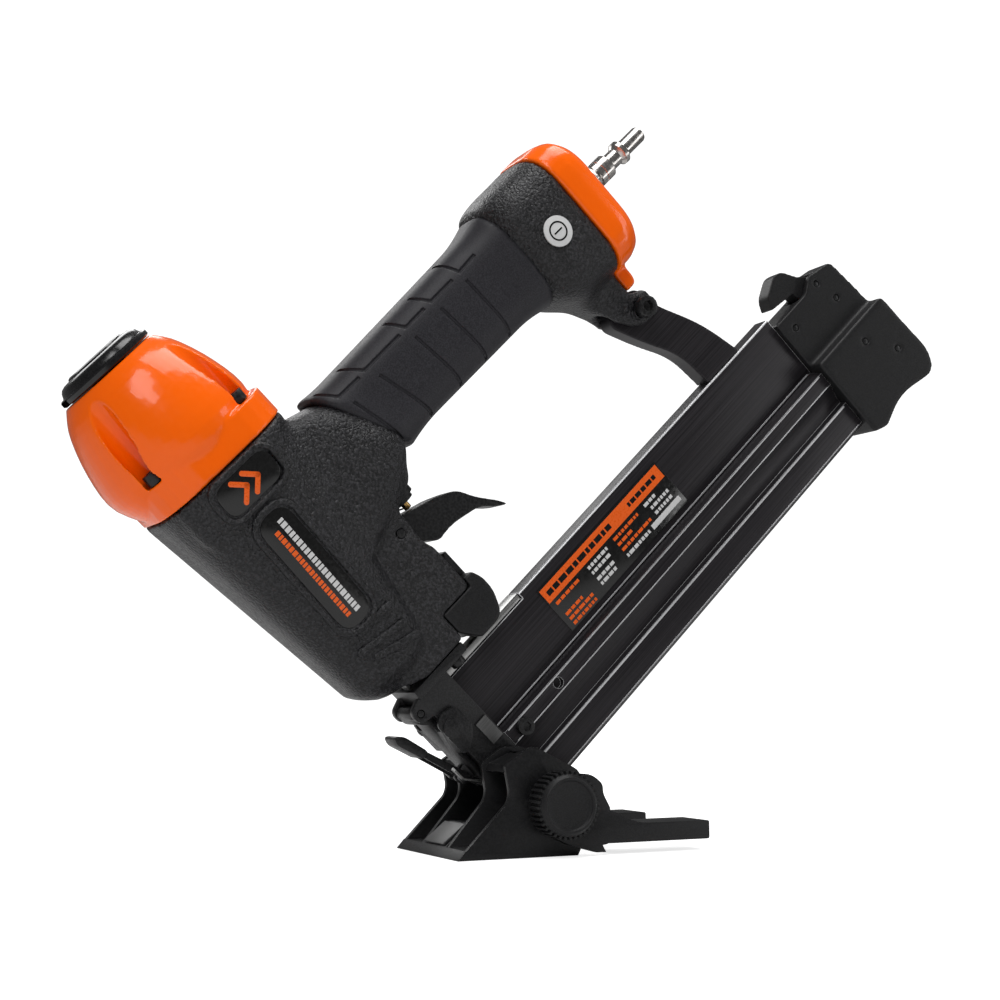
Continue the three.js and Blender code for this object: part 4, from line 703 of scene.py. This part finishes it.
def clamp_knob(side, node_name):
    """Round knob with a fluted rim and a stepped face; side -1 is the left one."""
    low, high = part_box(node_name)
    radius, inner, outer = 14.5, 41.3, 53.8
    root = 13.2  # radius between the ribs
    stud_radius, stud_end = 3.0, 19.95
    ribs = 36
    sides = ribs * 4  # a rib and the gap beside it are two sides each
    profile = [
        (12.4, inner), (root, inner + 0.3), (root, outer - 2.4), (root - 0.3, outer - 1.7),
        (12.4, outer - 1.2), (11.9, outer - 0.4), (11.3, outer - 0.1), (10.6, outer - 0.5),
        (10.2, outer - 1.2), (9.4, outer - 1.4), (1.0, outer - 1.2),
    ]
    piece = turned(profile, sides)
    pick(piece, lambda middle, normal: (
        (inner + 0.4) * MM < middle.z < (outer - 2.5) * MM and abs(normal.z) < 0.2
        and math.floor(math.atan2(middle.y, middle.x) / math.tau * sides) % 4 < 2))
    bpy.ops.mesh.extrude_region_move()
    share = radius / root
    bpy.ops.transform.resize(value=(share, share, 1), center_override=(0, 0, 0))
    leave()
    break_edges(piece, 0.16, 2, 30)
    stud = turned([(stud_radius, stud_end), (stud_radius, inner + 1)], 24)
    piece = weld(piece, stud)
    flip = Matrix.Rotation(math.radians(90 if side < 0 else -90), 4, "X")
    centre = (Vector(low) + Vector(high)) / 2
    settle(piece, Matrix.Translation((centre.x, 0, centre.z)) @ flip)
    smooth(piece, 30)
    piece.name = node_name + "_piece"
    return stand_for(piece, black_plastic, "black_plastic", node_name)


clamp_knob(-1, "knob_left")
clamp_knob(1, "knob_right")


# ---------- Rubber grip ----------

GRIP_CORNERS = [  # top, corner and end of each pad groove, then its slanted side groove
    ((56, 225.5), (61.8, 217.3), (74.7, 217.0), (64.9, 211.0), (71.5, 181.8)),
    ((72.3, 225.7), (79.0, 217.6), (102.1, 217.8), (82.4, 211.3), (90.5, 182)),
    ((102.6, 226.4), (106.8, 218.3), (119.2, 218.6), (106.9, 212.3), (110.5, 182)),
    ((119.0, 226.9), (124.2, 218.7), (138.5, 218.9), (125.2, 213.3), (128.0, 182)),
    ((141.5, 227.4), (144.0, 219.2), (155.0, 220.0), (143.4, 214.3), (144.5, 182)),
]
GROOVE_RADIUS = 0.95
CLEAR_OF_TOOL = 60  # half-width, in millimetres, that lies outside every piece


def groove_spots(piece, path, side, step=1.6):
    """Spots on the sleeve's surface along a path of (x, z) on one side."""
    spots = []
    inward = TOOL.to_3x3() @ Vector((0, -side, 0))
    for (x0, z0), (x1, z1) in zip(path, path[1:]):
        length = math.hypot(x1 - x0, z1 - z0)
        count = max(2, round(length / step))
        for i in range(count + 1):
            x = x0 + (x1 - x0) * i / count
            z = z0 + (z1 - z0) * i / count
            start = at(x, side * CLEAR_OF_TOOL, z)
            found, spot, _, _ = piece.ray_cast(start, inward)
            if found:
                spots.append(spot.copy())
    return spots


def grip():
    """Soft sleeve that flares at both ends, with grooves pressed round its pads."""
    piece = moulded("grip_sleeve", 0.85, 14)
    rear_flare, front_flare, flare_length = 152, 63, 20
    front_slant, axis_z = 0.63, 202
    press_part(piece, lambda x, y, z: max(0, (x - rear_flare) / flare_length) ** 2,
               "DISPLACE", strength=3.2 * MM, mid_level=0)
    press_part(piece, lambda x, y, z: max(
        0, 1 - (x - front_flare + front_slant * (z - axis_z)) / flare_length) ** 2,
        "DISPLACE", strength=2.2 * MM, mid_level=0)
    rods = []
    for top, corner, end, start, finish_spot in GRIP_CORNERS:
        for side in (-1, 1):
            for path in ((top, corner, end), (start, finish_spot)):
                spots = groove_spots(piece, path, side)
                for a, b in zip(spots, spots[1:]):
                    along = b - a
                    if along.length < 0.1 * MM:
                        continue
                    bpy.ops.object.select_all(action="DESELECT")
                    bpy.ops.mesh.primitive_cylinder_add(
                        vertices=8, radius=GROOVE_RADIUS * MM, depth=along.length + 0.9 * MM,
                        location=(a + b) / 2, rotation=along.to_track_quat("Z", "Y").to_euler())
                    rods.append(bpy.context.object)
    cutter = weld(*rods)
    settle(cutter)
    press(cutter, "REMESH", mode="VOXEL", voxel_size=0.3 * MM)
    carve(piece, cutter)
    press(piece, "SMOOTH", factor=0.4, iterations=2)
    take(piece)
    bpy.ops.object.shade_smooth()
    return stand_for(piece, grip_rubber, "grip_rubber", "grip_sleeve")


grip()


# ---------- Raised rims, ribs and printed marks ----------

BARREL_TOP = (35.5, 231)  # half-width and height at the ends of the barrel's leaning sides
BARREL_FOOT = (21.5, 118)
BARREL_LEAN = math.atan2(BARREL_TOP[0] - BARREL_FOOT[0], BARREL_TOP[1] - BARREL_FOOT[1])


def barrel_side(x, z):
    """Place of a flat piece on the barrel's left face: its +Z faces out, its +Y up the barrel."""
    top_reach, top_z = BARREL_TOP
    reach = top_reach - (top_z - z) * math.tan(BARREL_LEAN)
    lean = Matrix.Rotation(BARREL_LEAN, 4, "X")
    return TOOL @ Matrix.Translation((x * MM, -reach * MM, z * MM)) @ lean @ OUTWARD


def rounded_sheet(half_width, half_height, radius):
    """A flat rounded rectangle in x and y."""
    bpy.ops.object.select_all(action="DESELECT")
    bpy.ops.mesh.primitive_plane_add(size=2)
    piece = bpy.context.object
    piece.scale = (half_width * MM, half_height * MM, 1)
    settle(piece)
    edit(piece)
    bpy.ops.mesh.bevel(offset=radius * MM, segments=8, affect="VERTICES", offset_type="OFFSET")
    leave()
    return piece


def rim(half_width, half_height, radius, width, height, base=-1.0):
    """A raised rounded rim about a recess."""
    piece = rounded_sheet(half_width, half_height, radius)
    edit(piece)
    bpy.ops.mesh.inset(thickness=width * MM)
    bpy.ops.mesh.delete(type="FACE")
    bpy.ops.mesh.select_all(action="SELECT")
    bpy.ops.mesh.extrude_region_move(
        TRANSFORM_OT_translate={"value": (0, 0, (height - base) * MM)})
    bpy.ops.mesh.select_all(action="SELECT")
    bpy.ops.transform.translate(value=(0, 0, base * MM))
    bpy.ops.mesh.normals_make_consistent(inside=False)
    leave()
    break_edges(piece, width * 0.4, 3, 40)
    return smooth(piece, 40)


def bar(start, end, width, height, place):
    """A rounded bar lying on a flat place, from start to end in its x and y, sunk a little."""
    sunk = 1.5
    (x0, y0), (x1, y1) = start, end
    length = math.hypot(x1 - x0, y1 - y0)
    piece = rounded_sheet(length / 2 + width / 2, width / 2, width * 0.49)
    edit(piece)
    bpy.ops.mesh.extrude_region_move(TRANSFORM_OT_translate={"value": (0, 0, (height + sunk) * MM)})
    bpy.ops.mesh.select_all(action="SELECT")
    bpy.ops.transform.translate(value=(0, 0, -sunk * MM))
    bpy.ops.mesh.normals_make_consistent(inside=False)
    leave()
    break_edges(piece, min(width, height * 2) * 0.42, 3, 50)
    lie = Matrix.Translation(((x0 + x1) / 2 * MM, (y0 + y1) / 2 * MM, 0)) @ Matrix.Rotation(
        math.atan2(y1 - y0, x1 - x0), 4, "Z")
    settle(piece, place @ lie)
    return smooth(piece, 40)


NAME_PAD = (1.5, 220.0)  # x and z of the middle of each recess
SIDE_PAD = (-1.0, 174.5)
RIB_WIDTH, RIB_HEIGHT = 3.4, 0.9
name_rim = settle(rim(18.2, 10.6, 7.5, 2.4, 2.0), barrel_side(*NAME_PAD))
fit_on(name_rim, "name_plate_rim", wrinkle_black)
side_rim = settle(rim(11.8, 34.2, 9.5, 2.6, 2.2), barrel_side(*SIDE_PAD))
fit_on(side_rim, "side_label_rim", wrinkle_black)
for number, ((start_x, start_z), (end_x, end_z)) in enumerate((
    ((-5, 140.5), (13, 139.8)), ((-10, 134), (12.6, 129.5)), ((-6, 127.5), (14, 121.5)),
)):
    middle_z = (start_z + end_z) / 2
    rib = bar((start_x, start_z - middle_z), (end_x, end_z - middle_z), RIB_WIDTH, RIB_HEIGHT,
              barrel_side(0, middle_z))
    fit_on(rib, f"barrel_rib_{number + 1}", wrinkle_black)


def stripes(rows, place, thickness=0.06):
    """Printed dashes: each row is (x, y, height, [(dash, space), ...]) in millimetres."""
    bpy.ops.object.select_all(action="DESELECT")
    bpy.ops.mesh.primitive_cube_add(size=1)
    piece = bpy.context.object
    edit(piece)
    bpy.ops.mesh.delete(type="VERT")
    for x, y, height, dashes in rows:
        spot = x
        for dash, space in dashes:
            bpy.ops.mesh.primitive_cube_add(
                size=1, location=((spot + dash / 2) * MM, y * MM, 0),
                scale=(dash * MM, height * MM, thickness * MM))
            spot += dash + space
    leave()
    settle(piece, place)
    return break_edges(piece, thickness * 0.3, 1)


rng = random.Random(7)


def dash_run(length, shortest, longest, space):
    """Dashes of uneven length, with the space after each, that fill a row."""
    run = []
    used = 0
    while used < length - shortest:
        dash = min(rng.uniform(shortest, longest), length - used)
        run.append((dash, space))
        used += dash + space
    return run


def flat_on(node_name, x, z, proud=0.03):
    """Place on the left face of an upright node, at a spot of the tool frame."""
    low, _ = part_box(node_name)
    return TOOL @ Matrix.Translation((x * MM, low[1] - proud * MM, z * MM)) @ OUTWARD


def on_top_of(node_name, place, proud=0.03):
    """The place, moved out along its own +Z until it lies on the node."""
    back = place.inverted()
    node_piece = bpy.data.objects[node_name]
    reach = max((back @ node_piece.matrix_world @ v.co).z for v in node_piece.data.vertices)
    return place @ Matrix.Translation((0, 0, reach + proud * MM))


quarter_turn = Matrix.Rotation(math.radians(90), 4, "Z")
side_face = on_top_of("side_label", barrel_side(*SIDE_PAD)) @ quarter_turn
fit_on(stripes([(-25, 2.4, 2.5, dash_run(48, 1.2, 2.1, 0.55))], side_face),
       "side_label_mark_orange", label_orange)
fit_on(stripes([(-26, -2.2, 2.9, dash_run(52, 1.4, 2.4, 0.6))], side_face),
       "side_label_mark_white", label_white)

name_face = on_top_of("name_plate", barrel_side(*NAME_PAD))
chevrons = []
for shift in (-6, 0.5):
    chevrons += [
        bar((shift, -5), (shift + 5, 0), 2.3, 0.08, name_face),
        bar((shift + 5, 0), (shift, 5), 2.3, 0.08, name_face),
    ]
fit_on(weld(*chevrons), "name_plate_mark", label_orange)

BADGE_SPOT = (189.5, 202.3)
MARK_HEIGHT = 0.08
badge_face = flat_on("round_badge", *BADGE_SPOT)
badge_ring = rim(4.6, 4.6, 4.5, 0.8, MARK_HEIGHT, 0.0)
badge_bar = bar((-2.2, 0), (2.2, 0), 0.8, MARK_HEIGHT, Matrix.Identity(4))
fit_on(settle(weld(badge_ring, badge_bar), badge_face), "badge_mark", label_black)

LINE_FRONT, LINE_BACK = 17, 254
MAGAZINE_LINES = (  # node, height and width of each painted highlight line along its sides
    ("magazine_channel", 61.9, 0.7), ("magazine_slide", 58.8, 0.6),
    ("magazine_slide", 52.3, 0.35), ("magazine_slide", 39.3, 0.9),
    ("magazine_slide", 27.4, 0.3),
)
# Thin bright bars along the magazine's sides: painted highlights standing in for light off its
# steps and chamfers.
for face_node, z, width in MAGAZINE_LINES:
    low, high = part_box(face_node)
    for side, reach in ((-1, low[1]), (1, high[1])):
        lay = Matrix.Rotation(math.radians(-90 * side), 4, "X")
        face = TOOL @ Matrix.Translation((0, reach, z * MM)) @ lay
        line = bar((LINE_FRONT, 0), (LINE_BACK, 0), width, 0.04, face)
        fit_on(line, f"{face_node}_line_{round(z)}_{'left' if side < 0 else 'right'}",
               milled_edge, bodies_of[face_node])

LABEL_CORNER = (73, 65)  # lower front corner of the magazine label
label_face = flat_on("magazine_label", *LABEL_CORNER)
fit_on(stripes([(0.6, 20.4, 7.4, [(85.6, 0)])], label_face),
       "magazine_label_band", label_orange)
fit_on(stripes([
    (3, 20.4, 2.6, dash_run(48, 1.6, 5, 0.8)), (62, 20.4, 2.2, dash_run(22, 1.4, 4, 0.7)),
], label_face @ Matrix.Translation((0, 0, 0.05 * MM))), "magazine_label_title", label_black)
fit_on(stripes([
    (3, 14.2, 1.5, dash_run(16, 1.2, 3.6, 0.6)), (3, 7.4, 1.5, dash_run(13, 1.2, 3.6, 0.6)),
    (3, 4.6, 1.5, dash_run(17, 1.2, 3.6, 0.6)), (3, 1.8, 1.5, dash_run(18, 1.2, 3.6, 0.6)),
    (45, 14.2, 1.5, dash_run(18, 1.2, 3.6, 0.6)), (45, 11.0, 1.5, dash_run(12, 1.2, 3.6, 0.6)),
    (45, 7.8, 1.5, dash_run(22, 1.2, 3.6, 0.6)),
], label_face), "magazine_label_text_orange", label_orange)
fit_on(stripes([
    (26, 14.2, 1.6, dash_run(14, 1.2, 3.4, 0.6)), (26, 11.2, 1.6, dash_run(13, 1.2, 3.4, 0.6)),
    (26, 7.4, 1.6, dash_run(12, 1.2, 3.4, 0.6)), (26, 4.6, 1.6, dash_run(11, 1.2, 3.4, 0.6)),
    (68, 14.2, 1.6, dash_run(8, 1.2, 3.4, 0.6)), (70, 11.0, 1.6, dash_run(13, 1.2, 3.4, 0.6)),
    (70, 7.8, 1.6, dash_run(14, 1.2, 3.4, 0.6)), (45, 4.2, 1.7, dash_run(17, 1.2, 3.4, 0.6)),
    (64, 4.2, 2.6, [(21, 0)]),
], label_face), "magazine_label_text_white", label_white)


# ---------- Stage, light and camera ----------

def stage_floor():
    """Pale floor that catches the shadows and, for the camera, fades to white far out."""
    bpy.ops.object.select_all(action="DESELECT")
    bpy.ops.mesh.primitive_plane_add(size=8, location=(0, 0, -0.0002))
    floor = bpy.context.object
    floor.name = "floor"
    material = bpy.data.materials.new("pale_floor")
    material.use_nodes = True
    shader = material.node_tree.nodes["Principled BSDF"]
    shader.inputs["Base Color"].default_value = (0.85, 0.85, 0.85, 1)
    shader.inputs["Roughness"].default_value = 0.8
    shader.inputs["Emission Color"].default_value = (1, 1, 1, 1)
    seen = node(material.node_tree, "ShaderNodeLightPath")
    spot = node(material.node_tree, "ShaderNodeTexCoord").outputs["Object"]
    away = node(material.node_tree, "ShaderNodeVectorMath", {0: spot}, operation="LENGTH")
    bright = node(material.node_tree, "ShaderNodeMapRange", {
        "Value": away.outputs["Value"], "From Min": 0.3, "From Max": 0.8,
        "To Min": 0.74, "To Max": 1.15,
    })
    glow = node(material.node_tree, "ShaderNodeMath", {
        0: seen.outputs["Is Camera Ray"], 1: bright.outputs[0],
    }, operation="MULTIPLY")
    material.node_tree.links.new(glow.outputs[0], shader.inputs["Emission Strength"])
    floor.data.materials.append(material)


def soft_light(name, place, target, size, power):
    """A rectangular lamp, its size in metres and its power in watts, turned to the target."""
    bpy.ops.object.light_add(type="AREA", location=place)
    lamp = bpy.context.object
    lamp.name = name
    lamp.data.shape = "RECTANGLE"
    lamp.data.size, lamp.data.size_y = size
    lamp.data.energy = power
    lamp.rotation_euler = (Vector(target) - Vector(place)).to_track_quat("-Z", "Y").to_euler()


def stage_camera():
    """The still camera, low on the left side, with a slight roll."""
    eye = Vector((-0.3208, -0.7527, 0.0738))
    forward = Vector((0.3994, 0.9113, 0.1009)).normalized()
    bpy.ops.object.camera_add(location=eye)
    camera = bpy.context.object
    turn = forward.to_track_quat("-Z", "Y").to_matrix().to_4x4()
    roll = Matrix.Rotation(math.radians(-0.59), 4, "Z")
    camera.matrix_world = Matrix.Translation(eye) @ turn @ roll
    camera.data.lens = 65.4
    camera.data.sensor_width = 36
    camera.data.clip_start = 0.01
    bpy.context.scene.camera = camera


def stage_world():
    """White behind the object, a dimmer room for its reflections."""
    world = bpy.data.worlds.new("studio")
    world.use_nodes = True
    tree = world.node_tree
    room = tree.nodes["Background"]
    room.inputs["Color"].default_value = (1, 1, 1, 1)
    seen = node(tree, "ShaderNodeLightPath")
    strength = node(tree, "ShaderNodeMapRange", {
        "Value": seen.outputs["Is Camera Ray"], "To Min": 0.15, "To Max": 1.15,
    })
    tree.links.new(strength.outputs[0], room.inputs["Strength"])
    bpy.context.scene.world = world


stage_floor()
stage_world()
tool_middle = (0.01, 0, 0.16)
soft_light("left_softbox", (-0.65, -0.95, 1.1), tool_middle, (0.5, 0.9), 8.5)
soft_light("top_softbox", (0.1, -0.1, 1.2), tool_middle, (0.9, 0.5), 8)
soft_light("right_softbox", (1.1, -0.6, 0.5), tool_middle, (0.3, 0.9), 2.5)
soft_light("back_softbox", (-0.3, 1.0, 0.9), tool_middle, (1.0, 0.5), 4.5)
stage_camera()
bpy.context.scene.view_settings.view_transform = "Standard"
